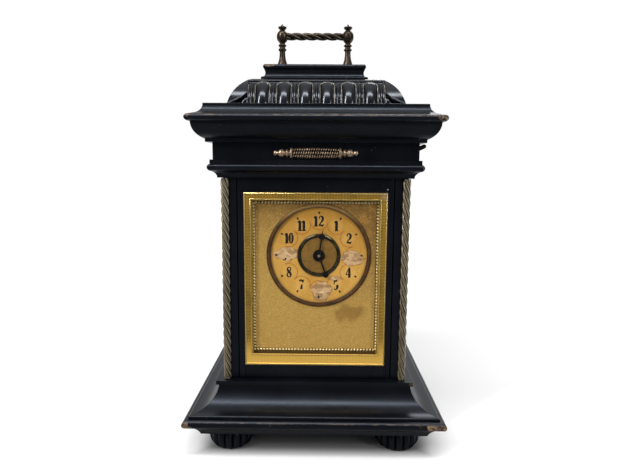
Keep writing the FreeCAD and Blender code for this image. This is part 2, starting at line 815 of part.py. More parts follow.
def stile_section(sign):
    """Stepped section seen from above: face, seat behind the sash, seat behind the glass."""
    side = DOOR_X * sign
    corners = [
        (side, DOOR_FACE + D["door_edge_round"]),
        (side, DOOR_BACK),
        (LIP_X * sign, DOOR_BACK),
        (LIP_X * sign, GLASS_BACK),
        (GLASS_X * sign, GLASS_BACK),
        (GLASS_X * sign, SASH_BACK),
        (SASH_X * sign, SASH_BACK),
        (SASH_X * sign, DOOR_FACE),
        (side - D["door_edge_round"] * sign, DOOR_FACE),
    ]
    rounded = (*corners[0], D["door_edge_round"], sign)
    return [rounded] + corners[1:]


def rail_section(outer, sash, lip, glass):
    """The same steps seen from the side, for a rail above or below the glass."""
    return [
        (DOOR_FACE, outer), (DOOR_FACE, sash), (SASH_BACK, sash), (SASH_BACK, glass),
        (GLASS_BACK, glass), (GLASS_BACK, lip), (DOOR_BACK, lip), (DOOR_BACK, outer),
    ]


def make_front_door():
    height = DOOR_TOP - DOOR_LOW
    bores = []
    for name, low in (("lower", DOOR_LOW), ("upper", DOOR_TOP - D["pivot_reach"])):
        bores.append(rod("pivot_bore_" + name, D["pivot_radius"] + D["running_gap"],
                         D["pivot_reach"], PIVOT_X, PIVOT_Y, low))
    for hand, sign in (("left", -1), ("right", 1)):
        label = "door_stile_" + hand
        stile = place(extruded(label + "_blank", stile_section(sign), height), 0, 0, DOOR_LOW)
        if sign > 0:
            stile = cut(label, stile, fuse("pivot_bores", *bores))
        node(stile, label)
    rails = (("bottom", rail_section(DOOR_LOW, SASH_LOW, LIP_LOW, GLASS_LOW)),
             ("top", rail_section(DOOR_TOP, SASH_TOP, LIP_TOP, GLASS_TOP)))
    for name, section in rails:
        label = "door_rail_" + name
        # The rail stops at the stile's stepped edge: planed long, then the stiles' steps cut away.
        rail = extruded(label + "_bar", section, SASH_X * 2, "YZ_Plane", symmetric=True)
        shoulders = []
        for hand, sign in (("left", -1), ("right", 1)):
            steps = ((GLASS_X, SASH_X, SASH_BACK, DOOR_BACK),
                     (LIP_X, GLASS_X, GLASS_BACK, DOOR_BACK))
            for number, (near, far, front, rear) in enumerate(steps):
                x = (near, far) if sign > 0 else (-far, -near)
                z = (DOOR_LOW, LIP_LOW) if name == "bottom" else (LIP_TOP, DOOR_TOP)
                piece = "%s_shoulder_%s_%d" % (label, hand, number)
                shoulders.append(box(piece, x, (front, rear), z))
        node(cut(label, rail, fuse(label + "_shoulders", *shoulders)), label)
    glass = box("door_glass", (-GLASS_X, GLASS_X), (SASH_BACK, GLASS_BACK), (GLASS_LOW, GLASS_TOP))
    node(glass, "door_glass")
    sash = box("sash_blank", (-SASH_X, SASH_X), (SASH_FACE, SASH_BACK), (SASH_LOW, SASH_TOP))
    inset = D["sash_width"]
    light = box("sash_light", (-SASH_X + inset, SASH_X - inset), (SASH_FACE, SASH_BACK),
                (SASH_LOW + inset, SASH_TOP - inset))
    node(cut("door_sash", sash, light), "door_sash")


def pivot_pin(label, x, y, low):
    return rod(label, D["pivot_radius"], D["pivot_reach"] * 2, x, y, low)


def make_pivots():
    lower = DOOR_LOW - D["door_gap"] - D["pivot_reach"]
    upper = DOOR_TOP + D["door_gap"] - D["pivot_reach"]
    pins = {}
    for name, low in (("lower", lower), ("upper", upper)):
        label = "front_pivot_" + name
        pins[label] = node(pivot_pin(label, PIVOT_X, PIVOT_Y, low), label)
        label = "back_pivot_" + name
        pins[label] = pivot_pin(label, -PIVOT_X, BACK_PIVOT_Y, low)
    return pins


def make_back_door(pins):
    """Plain board behind the movement, with its two pivots fast in its edges."""
    front = HALF_DEPTH - D["back_door_thickness"]
    corners = (
        (-DOOR_X, front),
        (DOOR_X, front),
        (DOOR_X, HALF_DEPTH),
        (-DOOR_X + D["door_edge_round"], HALF_DEPTH),
        (-DOOR_X, HALF_DEPTH - D["door_edge_round"], D["door_edge_round"], 1),
    )
    board = place(extruded("back_board", corners, DOOR_TOP - DOOR_LOW), 0, 0, DOOR_LOW)
    pieces = (board, pins["back_pivot_lower"], pins["back_pivot_upper"])
    node(fuse("back_door", *pieces), "back_door")


def finish_mouldings(runs, slot):
    """Bore the pivots' seats and cut the stop lever's slot."""
    lower = DOOR_LOW - D["door_gap"] - D["pivot_reach"]
    fixed = D["pivot_radius"]
    loose = D["pivot_radius"] + D["running_gap"]
    depth = D["pivot_reach"]
    seats = (
        ("base_moulding_front", fixed, PIVOT_X, PIVOT_Y, lower),
        ("entablature_front", fixed, PIVOT_X, PIVOT_Y, BODY_TOP),
        ("base_moulding_back", loose, -PIVOT_X, BACK_PIVOT_Y, lower),
        ("entablature_back", loose, -PIVOT_X, BACK_PIVOT_Y, BODY_TOP),
    )
    for label, radius, x, y, low in seats:
        hole = rod(label + "_seat", radius, depth, x, y, low)
        runs[label] = cut(label, runs[label], hole)
    runs["entablature_right"] = cut("entablature_right", runs["entablature_right"], slot)
    for label, run in runs.items():
        node(run, label)


# ---------------------------------------------------------------- dial and hands

MASK_FACE = DOOR_BACK + D["mask_gap"]
DIAL_FACE = MASK_FACE + D["mask_thickness"]
BOARD_BACK = DIAL_FACE + D["dial_board_thickness"]
DIAL_X = D["dial_x"]
DIAL_Z = SASH_TOP - D["sash_width"] - D["dial_top_gap"] - D["bezel_radius"]


def dial_rod(label, radius, front, back):
    return rod(label, radius, back - front, DIAL_X, front, DIAL_Z, "Y")


def make_dial():
    inside = D["sash_width"] - D["mask_cover"]
    half = SASH_X - inside
    mask = box("mask_blank", (-half, half), (MASK_FACE, DIAL_FACE),
               (SASH_LOW + inside, SASH_TOP - inside))
    opening = dial_rod("mask_opening", D["mask_opening_radius"], MASK_FACE, DIAL_FACE)
    node(cut("mask_plate", mask, opening), "mask_plate")
    board = box("board_blank", (-INNER_X, INNER_X), (DIAL_FACE, BOARD_BACK), (BODY_LOW, BODY_TOP))
    opening = dial_rod("board_opening", D["dial_radius"], DIAL_FACE, BOARD_BACK)
    node(cut("dial_board", board, opening), "dial_board")
    bezel_front = MASK_FACE - D["bezel_thickness"]
    ring = dial_rod("bezel_blank", D["bezel_radius"], bezel_front, MASK_FACE)
    bore = dial_rod("bezel_bore", D["bezel_bore_radius"], bezel_front, MASK_FACE)
    node(cut("dial_bezel", ring, bore), "dial_bezel")
    dial_back = DIAL_FACE + D["dial_thickness"]
    plate = dial_rod("dial_blank", D["dial_radius"], DIAL_FACE, dial_back)
    hole = dial_rod("dial_hole", D["dial_hole_radius"], DIAL_FACE, dial_back)
    node(cut("dial_plate", plate, hole), "dial_plate")


def hand_shape(length, moon_at, moon_radius, hub_radius, bore_radius, angle):
    """Flat moon hand: hub, straight stem, a disc near the end and a pointed tip."""
    thick = float(D["hand_thickness"])
    half = float(D["hand_width"]) / 2
    hub = Part.makeCylinder(hub_radius, thick)
    stem = Part.makeBox(moon_at, half * 2, thick, V(0, -half, 0))
    moon = Part.makeCylinder(moon_radius, thick, V(moon_at, 0, 0))
    root = moon_at + moon_radius / 2
    corners = [V(root, -half, 0), V(length, 0, 0), V(root, half, 0), V(root, -half, 0)]
    tip = Part.Face(Part.makePolygon(corners)).extrude(V(0, 0, thick))
    hand = hub.fuse([stem, moon, tip]).removeSplitter()
    hand = hand.cut(Part.makeCylinder(bore_radius, thick))
    hand = moved(hand, axis=V(0, 0, 1), angle=90 - angle)
    return moved(hand, axis=V(1, 0, 0), angle=90)


def make_hands():
    """Hands keep their backs at the given distance in front of the dial."""
    hour = hand_shape(float(D["hour_hand_length"]), float(D["hour_moon_at"]),
                      float(D["hour_moon_radius"]), float(D["hour_hub_radius"]),
                      float(D["hour_pipe_radius"]), float(D["hour_hand_angle"]))
    y = DIAL_FACE - D["hour_hand_stand"]
    node(solid("hour_hand", hour, DIAL_X, y, DIAL_Z), "hour_hand")
    minute = hand_shape(float(D["minute_hand_length"]), float(D["minute_moon_at"]),
                        float(D["minute_moon_radius"]), float(D["minute_hub_radius"]),
                        float(D["arbor_radius"]), float(D["minute_hand_angle"]))
    y = DIAL_FACE - D["minute_hand_stand"]
    node(solid("minute_hand", minute, DIAL_X, y, DIAL_Z), "minute_hand")


# ---------------------------------------------------------------- movement

PLATE_FRONT = BOARD_BACK
SPACE_FRONT = PLATE_FRONT + D["plate_thickness"]
SPACE_BACK = SPACE_FRONT + D["plate_space"]
PLATE_BACK = SPACE_BACK + D["plate_thickness"]
BARREL_DROP = D["train_module"] * (D["great_wheel_teeth"] + D["centre_pinion_teeth"]) / 2
BARREL_Z = DIAL_Z - BARREL_DROP
STUD_REACH = D["cannon_module"] * (D["cannon_teeth"] + D["minute_wheel_teeth"]) / 2
STUD_ANGLE = math.radians(float(D["minute_wheel_bearing"]))
STUD_X = DIAL_X + STUD_REACH * math.cos(STUD_ANGLE)
STUD_Z = DIAL_Z + STUD_REACH * math.sin(STUD_ANGLE)
HOUR_WHEEL_BACK = DIAL_FACE + D["dial_thickness"] + D["hour_wheel_setback"]
MINUTE_WHEEL_FRONT = HOUR_WHEEL_BACK + D["motion_gap"]
PLATFORM_Z = DIAL_Z + D["platform_rise"]

TOOTH_TIP = 0.75            # addendum, in modules
TOOTH_ROOT = 1.25           # dedendum, in modules
TOOTH_FILL = 0.40           # tooth thickness at the pitch circle, in tooth pitches
TOOTH_FOOT = 0.30           # half its thickness at the root, in tooth pitches
TOOTH_CROWN = 0.09          # half its thickness at the tip, in tooth pitches


def toothed(teeth, module, thickness, phase=0.0):
    """Toothed disc along +Y, its first tooth at phase degrees from +X towards +Z."""
    pitch_radius = teeth * module / 2
    step = 2 * math.pi / teeth
    rings = ((pitch_radius - TOOTH_ROOT * module, TOOTH_FOOT), (pitch_radius, TOOTH_FILL / 2),
             (pitch_radius + TOOTH_TIP * module, TOOTH_CROWN))
    flank = [(radius, -share) for radius, share in rings]
    flank += [(radius, share) for radius, share in reversed(rings)]
    points = []
    for index in range(teeth):
        for radius, share in flank:
            angle = math.radians(phase) + (index + share) * step
            points.append(V(radius * math.cos(angle), 0, radius * math.sin(angle)))
    points.append(points[0])
    return Part.Face(Part.makePolygon(points)).extrude(V(0, thickness, 0))


def disc(radius, front, length):
    return Part.makeCylinder(float(radius), float(length), V(0, float(front), 0), V(0, 1, 0))


def joined(*shapes):
    return shapes[0].fuse(list(shapes[1:])).removeSplitter()


def make_plates():
    half = D["plate_width"] / 2
    wide = (DIAL_X - half, DIAL_X + half)
    tall = (DIAL_Z - D["plate_low"], DIAL_Z + D["plate_high"])
    centre_hole = D["arbor_radius"] + D["running_gap"]
    winding_hole = D["winding_arbor_radius"] + D["running_gap"]
    stud_hole = D["minute_arbor_radius"] + D["running_gap"]
    hammer_hole = D["arbor_radius"] + D["running_gap"]
    thick = D["plate_thickness"]
    plates = (
        ("movement_front_plate", PLATE_FRONT,
         ((centre_hole, DIAL_X, DIAL_Z), (winding_hole, DIAL_X, BARREL_Z),
          (stud_hole, STUD_X, STUD_Z))),
        ("movement_back_plate", SPACE_BACK,
         ((centre_hole, DIAL_X, DIAL_Z), (winding_hole, DIAL_X, BARREL_Z),
          (hammer_hole, D["hammer_pivot_x"], HAMMER_Z))),
    )
    for label, front, holes in plates:
        blank = box(label + "_blank", wide, (front, front + thick), tall)
        bores = [rod("%s_hole_%d" % (label, number), radius, thick, x, front, z, "Y")
                 for number, (radius, x, z) in enumerate(holes)]
        node(cut(label, blank, fuse(label + "_holes", *bores)), label)
    inset = D["pillar_inset"]
    spots = (("left", wide[0] + inset, tall[0] + inset), ("right", wide[1] - inset, tall[0] + inset),
             ("top", wide[1] - inset, tall[1] - inset))
    for name, x, z in spots:
        label = "movement_pillar_" + name
        node(rod(label, D["pillar_radius"], D["plate_space"], x, SPACE_FRONT, z, "Y"), label)


def make_train():
    """Barrel, centre arbor and motion work, all in mesh at rest."""
    wheel = float(D["wheel_thickness"])
    gap = float(D["running_gap"])
    great_teeth = int(D["great_wheel_teeth"].value)
    pinion_teeth = int(D["centre_pinion_teeth"].value)
    module = float(D["train_module"])
    great_front = float(SPACE_FRONT + D["great_wheel_setback"])
    pinion_front = great_front - float(D["pinion_overhang"])
    barrel = joined(toothed(great_teeth, module, float(D["great_wheel_thickness"]), phase=90.0),
                    disc(D["barrel_radius"], 0, D["barrel_length"]))
    barrel = barrel.cut(disc(D["winding_arbor_radius"] + D["running_gap"], 0, D["barrel_length"]))
    node(solid("mainspring_barrel", barrel, DIAL_X, great_front, BARREL_Z), "mainspring_barrel")

    nose = float(DIAL_FACE - D["arbor_nose"])
    tail = float(PLATE_BACK + D["key_stand"] + D["knob_length"])
    shaft = disc(D["arbor_radius"], nose, tail - nose)
    pinion = toothed(pinion_teeth, module, float(D["pinion_length"]), -90 + 180.0 / pinion_teeth)
    pinion = moved(pinion, y=pinion_front)
    centre = toothed(int(D["centre_wheel_teeth"].value), float(D["centre_wheel_module"]), wheel)
    centre = moved(centre, y=float(SPACE_BACK - D["centre_wheel_setback"]))
    cannon_teeth = int(D["cannon_teeth"].value)
    cannon_length = float(PLATE_FRONT - MINUTE_WHEEL_FRONT - D["shoulder_gap"] * 2)
    bearing = float(D["minute_wheel_bearing"])
    cannon = toothed(cannon_teeth, float(D["cannon_module"]), cannon_length, bearing)
    cannon = moved(cannon, y=float(MINUTE_WHEEL_FRONT))
    arbor = joined(shaft, pinion, centre, cannon)
    node(solid("centre_arbor", arbor, DIAL_X, 0, DIAL_Z), "centre_arbor")

    minute_teeth = int(D["minute_wheel_teeth"].value)
    small_teeth = int(D["minute_pinion_teeth"].value)
    hour_teeth = int(D["hour_wheel_teeth"].value)
    back = bearing + 180.0
    wheel_part = toothed(minute_teeth, float(D["cannon_module"]), wheel, back + 180.0 / minute_teeth)
    small_front = float(DIAL_FACE + D["dial_thickness"] + D["minute_pinion_setback"])
    small = toothed(small_teeth, float(D["hour_module"]),
                    float(MINUTE_WHEEL_FRONT) - small_front + wheel, back)
    small = moved(small, y=small_front - float(MINUTE_WHEEL_FRONT))
    stud_length = float(SPACE_FRONT - MINUTE_WHEEL_FRONT - D["shoulder_gap"])
    minute = joined(wheel_part, small, disc(D["minute_arbor_radius"], 0, stud_length))
    node(solid("minute_wheel", minute, STUD_X, MINUTE_WHEEL_FRONT, STUD_Z), "minute_wheel")

    hour_front = float(HOUR_WHEEL_BACK) - wheel
    hour = toothed(hour_teeth, float(D["hour_module"]), wheel, bearing + 180.0 / hour_teeth)
    hour = moved(hour, y=hour_front)
    pipe_front = float(DIAL_FACE - D["hour_hand_stand"] - D["hand_thickness"])
    pipe_length = float(HOUR_WHEEL_BACK) - pipe_front
    pipe = disc(D["hour_pipe_radius"], pipe_front, pipe_length)
    bore = disc(D["arbor_radius"] + D["running_gap"], pipe_front, pipe_length)
    hour = joined(hour, pipe).cut(bore)
    node(solid("hour_wheel", hour, DIAL_X, 0, DIAL_Z), "hour_wheel")

    disc_back = float(DIAL_FACE - D["disc_stand"])
    disc_front = disc_back - float(D["disc_thickness"])
    face = disc(D["disc_radius"], disc_front, D["disc_thickness"])
    sleeve_back = hour_front - gap
    sleeve = disc(D["disc_pipe_radius"], disc_back, sleeve_back - disc_back)
    bore = disc(D["hour_pipe_radius"] + D["running_gap"], disc_front, sleeve_back - disc_front)
    alarm = joined(face, sleeve).cut(bore)
    node(solid("alarm_disc", alarm, DIAL_X, 0, DIAL_Z), "alarm_disc")


def make_key_and_knob():
    """Winding arbor with its fixed key, and the hand-setting knob."""
    start = PLATE_BACK + D["key_stand"]
    shaft = rod("winding_shaft", D["winding_arbor_radius"], start - PLATE_FRONT,
                DIAL_X, PLATE_FRONT, BARREL_Z, "Y")
    hub = rod("key_hub", D["key_hub_radius"], D["key_hub_length"], DIAL_X, start, BARREL_Z, "Y")
    half = D["key_width"] / 2
    thick = D["key_thickness"] / 2
    wings = box("key_wings", (DIAL_X - half, DIAL_X + half),
                (start + D["key_hub_length"] / 2, start + D["key_hub_length"] / 2 + D["key_height"]),
                (BARREL_Z - thick, BARREL_Z + thick))
    node(fuse("winding_key", shaft, hub, wings), "winding_key")
    knob = rod("knob_blank", D["knob_radius"], D["knob_length"], DIAL_X, start, DIAL_Z, "Y")
    bore = rod("knob_bore", D["arbor_radius"], D["knob_length"], DIAL_X, start, DIAL_Z, "Y")
    node(cut("setting_knob", knob, bore), "setting_knob")


def make_escapement():
    """Closed platform on the back plate, with the balance swinging behind it under a cock."""
    half = D["platform_width"] / 2
    rise = D["platform_height"] / 2
    back = PLATE_BACK + D["platform_depth"]
    staff = D["staff_radius"] + D["running_gap"]
    case = box("platform_case", (DIAL_X - half, DIAL_X + half), (PLATE_BACK, back),
               (PLATFORM_Z - rise, PLATFORM_Z + rise))
    reach = D["balance_stand"] * 2 + D["balance_thickness"]
    cock_front = back + reach
    cock_half = D["cock_width"] / 2
    cock_back = cock_front + D["cock_thickness"]
    tall = (PLATFORM_Z - cock_half, PLATFORM_Z + cock_half)
    edge = DIAL_X + half
    post = box("cock_post", (edge - D["cock_post_thickness"], edge), (back, cock_back), tall)
    arm = box("cock_arm", (DIAL_X - cock_half, edge), (cock_front, cock_back), tall)
    blank = fuse("platform_blank", case, post, arm)
    pivot_depth = D["cock_thickness"]
    staff_length = reach + pivot_depth * 2
    hole = rod("staff_hole", staff, staff_length, DIAL_X, back - pivot_depth, PLATFORM_Z, "Y")
    node(cut("escapement_platform", blank, hole), "escapement_platform")

    thick = float(D["balance_thickness"])
    radius = float(D["balance_radius"])
    rim = disc(radius, 0, thick).cut(disc(radius - float(D["balance_rim"]), 0, thick))
    inner = radius - float(D["balance_rim"]) / 2
    bar = float(D["balance_rim"])
    spoke = Part.makeBox(inner * 2, thick, bar, V(-inner, 0, -bar / 2))
    shaft = disc(D["staff_radius"], -(D["balance_stand"] + D["staff_sink"]), reach + D["staff_sink"] * 2)
    wheel = joined(rim, spoke, disc(D["balance_hub_radius"], 0, thick), shaft)
    y = back + D["balance_stand"]
    node(solid("balance_wheel", wheel, DIAL_X, y, PLATFORM_Z), "balance_wheel")


# ---------------------------------------------------------------- alarm

BELL_CROWN = CORNICE_TOP - D["top_board_thickness"] - D["bell_drop"]
BELL_LIP = BELL_CROWN - D["bell_radius"]
HAMMER_Z = DIAL_Z + D["plate_high"] - D["hammer_pivot_drop"]


def make_bell():
    """Half-round bell hung by its stem from the top board."""
    outer = D["bell_radius"]
    inner = outer - D["bell_wall"]
    section = (
        (outer, 0),
        (D["bell_stem_radius"], outer - D["bell_stem_sink"], outer, 1),
        (D["bell_stem_radius"], outer + D["bell_drop"]),
        (0, outer + D["bell_drop"]),
        (0, inner),
        (inner, 0, inner, -1),
    )
    bell = turned("alarm_bell", section)
    node(place(bell, D["bell_x"], D["bell_y"], BELL_LIP), "alarm_bell")


def make_hammer():
    """Arm on a hub behind the back plate, its head just left of the bell's lip."""
    head_x = D["bell_x"] - D["bell_radius"] - D["hammer_gap"] - D["hammer_head_length"]
    head_z = BELL_LIP + D["hammer_height"]
    hub_gap = float(D["hammer_hub_gap"])
    hub_front = float(PLATE_BACK) + hub_gap
    hub_length = float(D["hammer_hub_length"])
    hub_middle = hub_front + hub_length / 2
    pivot = V(float(D["hammer_pivot_x"]), 0, float(HAMMER_Z))
    arm_top = V(float(head_x + D["hammer_arm_sink"]), float(D["bell_y"]), float(head_z))
    knee = V(pivot.x, hub_middle, pivot.z)
    radius = float(D["hammer_arm_radius"])
    shaft_length = float(D["plate_thickness"]) + hub_gap + hub_length
    shaft = Part.makeCylinder(float(D["arbor_radius"]), shaft_length,
                              V(pivot.x, float(SPACE_BACK), pivot.z), V(0, 1, 0))
    hub = Part.makeCylinder(float(D["hammer_hub_radius"]), hub_length,
                            V(pivot.x, hub_front, pivot.z), V(0, 1, 0))
    arm = Part.makeCylinder(radius, (arm_top - knee).Length, knee, arm_top - knee)
    head = Part.makeCylinder(float(D["hammer_head_radius"]), float(D["hammer_head_length"]),
                             V(float(head_x), float(D["bell_y"]), float(head_z)), V(1, 0, 0))
    shape = moved(joined(shaft, hub, arm, head), x=-pivot.x, z=-pivot.z)
    node(solid("alarm_hammer", shape, D["hammer_pivot_x"], 0, HAMMER_Z), "alarm_hammer")


LEVER_X = HALF_WIDTH + D["lever_pivot_out"]
LEVER_Z = BODY_TOP + D["lever_pivot_rise"]
SLOT_STEPS = 5              # blade places that make up the slot


def lever_blade(half_thickness, half_height, reach, tail, tilt):
    """Straight blade through the pivot, its finger end rounded, tilted finger end up."""
    blade = Part.makeBox(reach + tail - half_height, half_thickness * 2, half_height * 2,
                         V(-tail, -half_thickness, -half_height))
    tip = Part.makeCylinder(half_height, half_thickness * 2,
                            V(reach - half_height, -half_thickness, 0), V(0, 1, 0))
    return moved(joined(blade, tip), axis=V(0, 1, 0), angle=-tilt)


def make_lever():
    half = float(D["lever_thickness"]) / 2
    rise = float(D["lever_height"]) / 2
    reach = float(D["lever_reach"])
    tail = float(D["lever_tail"])
    tilt = float(D["lever_tilt"])
    pin = float(D["lever_pin_radius"])
    pin_half = half + float(D["lever_pin_reach"])
    shaft = Part.makeCylinder(pin, pin_half * 2, V(0, -pin_half, 0), V(0, 1, 0))
    lever = joined(lever_blade(half, rise, reach, tail, tilt), shaft)
    node(solid("alarm_stop_lever", lever, LEVER_X, D["lever_y"], LEVER_Z), "alarm_stop_lever")

    # The slot is the blade's swept space with a gap all round, and the pin's running bore.
    gap = float(D["lever_slot_gap"])
    beyond = float(D["lever_slot_reach"])
    angles = [tilt - float(D["lever_travel"]) * n / SLOT_STEPS for n in range(SLOT_STEPS + 1)]
    sweep = [lever_blade(half + gap, rise + gap, reach + beyond, tail + beyond, angle)
             for angle in angles]
    loose = pin + float(D["running_gap"])
    bore_half = pin_half + float(D["lever_pin_gap"])
    bore = Part.makeCylinder(loose, bore_half * 2, V(0, -bore_half, 0), V(0, 1, 0))
    slot = joined(*sweep, bore)
    return solid("lever_slot", slot, LEVER_X, D["lever_y"], LEVER_Z)


# ---------------------------------------------------------------- build, check, write

def main():
    make_feet()
    make_boards()
    make_sides_and_columns()
    runs = make_mouldings()
    make_dome()
    make_cap()
    make_handle()
    make_ornament()
    make_front_door()
    make_back_door(make_pivots())
    make_dial()
    make_hands()
    make_plates()
    make_train()
    make_key_and_knob()
    make_escapement()
    make_bell()
    make_hammer()
    finish_mouldings(runs, make_lever())
    doc.recompute()

    for obj in doc.Objects:
        if "Invalid" in obj.State or "Error" in obj.State:
            raise RuntimeError("%s failed: %s" % (obj.Label, obj.State))
    os.makedirs("parts", exist_ok=True)
    for label, obj in NODES.items():
        shape = obj.Shape
        if shape.isNull() or not shape.isValid() or len(shape.Solids) != 1:
            raise RuntimeError("%s is not one valid solid" % label)
        shape.exportStep("parts/%s.step" % label)
    print("wrote %d sub-parts" % len(NODES))


main()
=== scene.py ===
# %% [markdown]
# # A small bracket clock, dressed for its portrait
# The clock was built first as plain solids, one for each part that a clockmaker would
# name. This lesson loads those solids as a fixed frame and dresses them: fluting, twisted
# columns, a gadrooned top, pressed brass, printed paper and worn black wood.
# Everything is in metres. X is to the right, -Y is the front and Z is up.

import math
from contextlib import contextmanager

import bmesh
import bpy
from mathutils import Matrix, Vector


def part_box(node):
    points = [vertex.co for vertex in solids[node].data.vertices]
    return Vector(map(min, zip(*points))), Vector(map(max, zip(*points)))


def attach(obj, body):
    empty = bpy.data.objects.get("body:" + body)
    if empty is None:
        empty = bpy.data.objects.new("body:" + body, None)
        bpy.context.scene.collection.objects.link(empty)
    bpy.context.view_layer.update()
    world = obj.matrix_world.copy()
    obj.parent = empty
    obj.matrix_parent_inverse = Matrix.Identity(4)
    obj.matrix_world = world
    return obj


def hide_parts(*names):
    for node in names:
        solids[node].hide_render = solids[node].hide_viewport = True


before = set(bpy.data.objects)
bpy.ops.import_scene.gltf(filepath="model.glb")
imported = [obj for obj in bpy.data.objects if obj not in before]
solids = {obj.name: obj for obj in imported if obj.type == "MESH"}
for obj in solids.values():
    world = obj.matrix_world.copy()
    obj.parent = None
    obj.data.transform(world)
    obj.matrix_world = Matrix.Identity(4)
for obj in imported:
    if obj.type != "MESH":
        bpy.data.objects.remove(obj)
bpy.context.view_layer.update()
MM = 0.001

# %% [markdown]
# ## One way to write node sums
# Both materials and Geometry Nodes are graphs. Adding each node by hand is long to read,
# so a socket is wrapped in a small class, and an ordinary sum on it adds its Math node.
# A bench holds one tree, and its one method adds any node: settings go in first, then
# the values or links of the sockets.


# %% The wire and the bench
class Wire:
    """An output socket that can be used in sums."""

    def __init__(self, bench, socket):
        self.bench, self.socket = bench, socket

    def sum_of(self, operation, *terms):
        return self.bench.add("ShaderNodeMath", {"operation": operation}, dict(enumerate(terms)))

    def root(self):
        return self.sum_of("SQRT", self.at_least(0.0))

    def ramp(self, start, end):
        """0 at start and 1 at end, smooth between; start may be the larger."""
        low, high, first, last = (start, end, 0.0, 1.0) if start < end else (end, start, 1.0, 0.0)
        return self.bench.add("ShaderNodeMapRange", {"interpolation_type": "SMOOTHSTEP"},
                              {"Value": self, "From Min": low, "From Max": high,
                               "To Min": first, "To Max": last})


def sum_method(operation, swapped=False):
    """A method that adds one Math node; swapped puts the wire last, as in 1.0 - wire."""
    def method(self, *others):
        return self.sum_of(operation, *(others + (self,) if swapped else (self,) + others))
    return method


for word, operation in (("add", "ADD"), ("sub", "SUBTRACT"), ("mul", "MULTIPLY")):
    setattr(Wire, "__%s__" % word, sum_method(operation))
    setattr(Wire, "__r%s__" % word, sum_method(operation, True))
for word, operation in (("__truediv__", "DIVIDE"), ("__pow__", "POWER"), ("size", "ABSOLUTE"),
                        ("sine", "SINE"), ("cosine", "COSINE"), ("at_least", "MAXIMUM"),
                        ("at_most", "MINIMUM"), ("above", "GREATER_THAN")):
    setattr(Wire, word, sum_method(operation))


def as_colour(value):
    return value if isinstance(value, Wire) else (*value[:3], 1.0)


class Bench:
    """One node tree, and the ways in which nodes are added to it."""

    def __init__(self, tree):
        self.tree = tree

    def add(self, kind, settings=None, sockets=None, out=0):
        node = self.tree.nodes.new(kind)
        for name, value in (settings or {}).items():
            setattr(node, name, value)
        for name, value in (sockets or {}).items():
            if isinstance(value, Wire):
                self.tree.links.new(value.socket, node.inputs[name])
            else:
                node.inputs[name].default_value = value
        return Wire(self, node.outputs[out]) if node.outputs else node

    def other(self, wire, name):
        """Another output of the node that a wire comes from."""
        return Wire(self, wire.socket.node.outputs[name])

    def parts(self, vector):
        x = self.add("ShaderNodeSeparateXYZ", None, {0: vector})
        return x, self.other(x, "Y"), self.other(x, "Z")

    def vector(self, x=0.0, y=0.0, z=0.0):
        return self.add("ShaderNodeCombineXYZ", None, {0: x, 1: y, 2: z})

    def turn_of(self, rise, run):
        """The angle whose tangent is rise over run."""
        return self.add("ShaderNodeMath", {"operation": "ARCTAN2"}, {0: rise, 1: run})

    def mark(self, label):
        """A number that a piece carries at each point."""
        return self.add("ShaderNodeAttribute", {"attribute_name": label}, None, "Fac")

    def blend(self, share, first, second):
        """A mix of two colours."""
        return self.add("ShaderNodeMix", {"data_type": "RGBA"},
                        {0: share, 6: as_colour(first), 7: as_colour(second)}, 2)

    def coats(self, colour, *layers):
        """Lays (share, colour) coats over a first colour, one after another."""
        for share, coat in layers:
            colour = self.blend(share, colour, coat)
        return colour

    def between(self, share, first, second):
        """A mix of two numbers."""
        return self.add("ShaderNodeMix", {"data_type": "FLOAT"}, {0: share, 2: first, 3: second})

    def noise(self, place, scale, detail=3.0, rough=0.55, stretch=(1, 1, 1), shift=(0, 0, 0)):
        moved = self.add("ShaderNodeMapping", None,
                         {"Vector": place, "Scale": stretch, "Location": shift})
        return self.add("ShaderNodeTexNoise", None,
                        {"Vector": moved, "Scale": scale, "Detail": detail, "Roughness": rough})

    def cells(self, place, scale, feature="F1", out="Distance", stretch=(1, 1, 1)):
        moved = self.add("ShaderNodeMapping", None, {"Vector": place, "Scale": stretch})
        return self.add("ShaderNodeTexVoronoi", {"feature": feature},
                        {"Vector": moved, "Scale": scale, "Randomness": 1.0}, out)


def bench_for(owner):
    """An empty bench for the nodes of a world or a material."""
    owner.use_nodes = True
    owner.node_tree.nodes.clear()
    return Bench(owner.node_tree)


def outside(x, y, half_x, half_y, shift):
    """How far a point lies outside a rectangle; it is negative inside."""
    return (x.size() - half_x).at_least((y + shift).size() - half_y)


def distance(across, upward):
    return (across * across + upward * upward).root()


print("the wire and the bench are ready")

# %% [markdown]
# ## Camera, floor and lamps
# The photograph was taken from a little above the middle of the clock, tilted down by
# seven and a half degrees. Tall soft boxes stand to the left and right in front,
# a wide one hangs above and one stands behind. The room in front is dark and the
# paper behind is white, so flat black wood stays black and its coves catch a soft line.
# The floor is white paper too: it shows white to the camera by its own colour, and it
# keeps the shadow that falls to the right. Black polish in front mirrors a dull table
# instead, as it does in a room.

# %% Camera
PITCH, YAW, ROLL = math.radians(7.62), math.radians(-0.55), 0.0064
EYE = Vector((0.0041, -0.4843, 0.2383))
FOCAL_PIXELS, FRAME_WIDTH = 508.8, 631
scene = bpy.context.scene


def show(name, data):
    """A new object in the scene."""
    made = bpy.data.objects.new(name, data)
    scene.collection.objects.link(made)
    return made


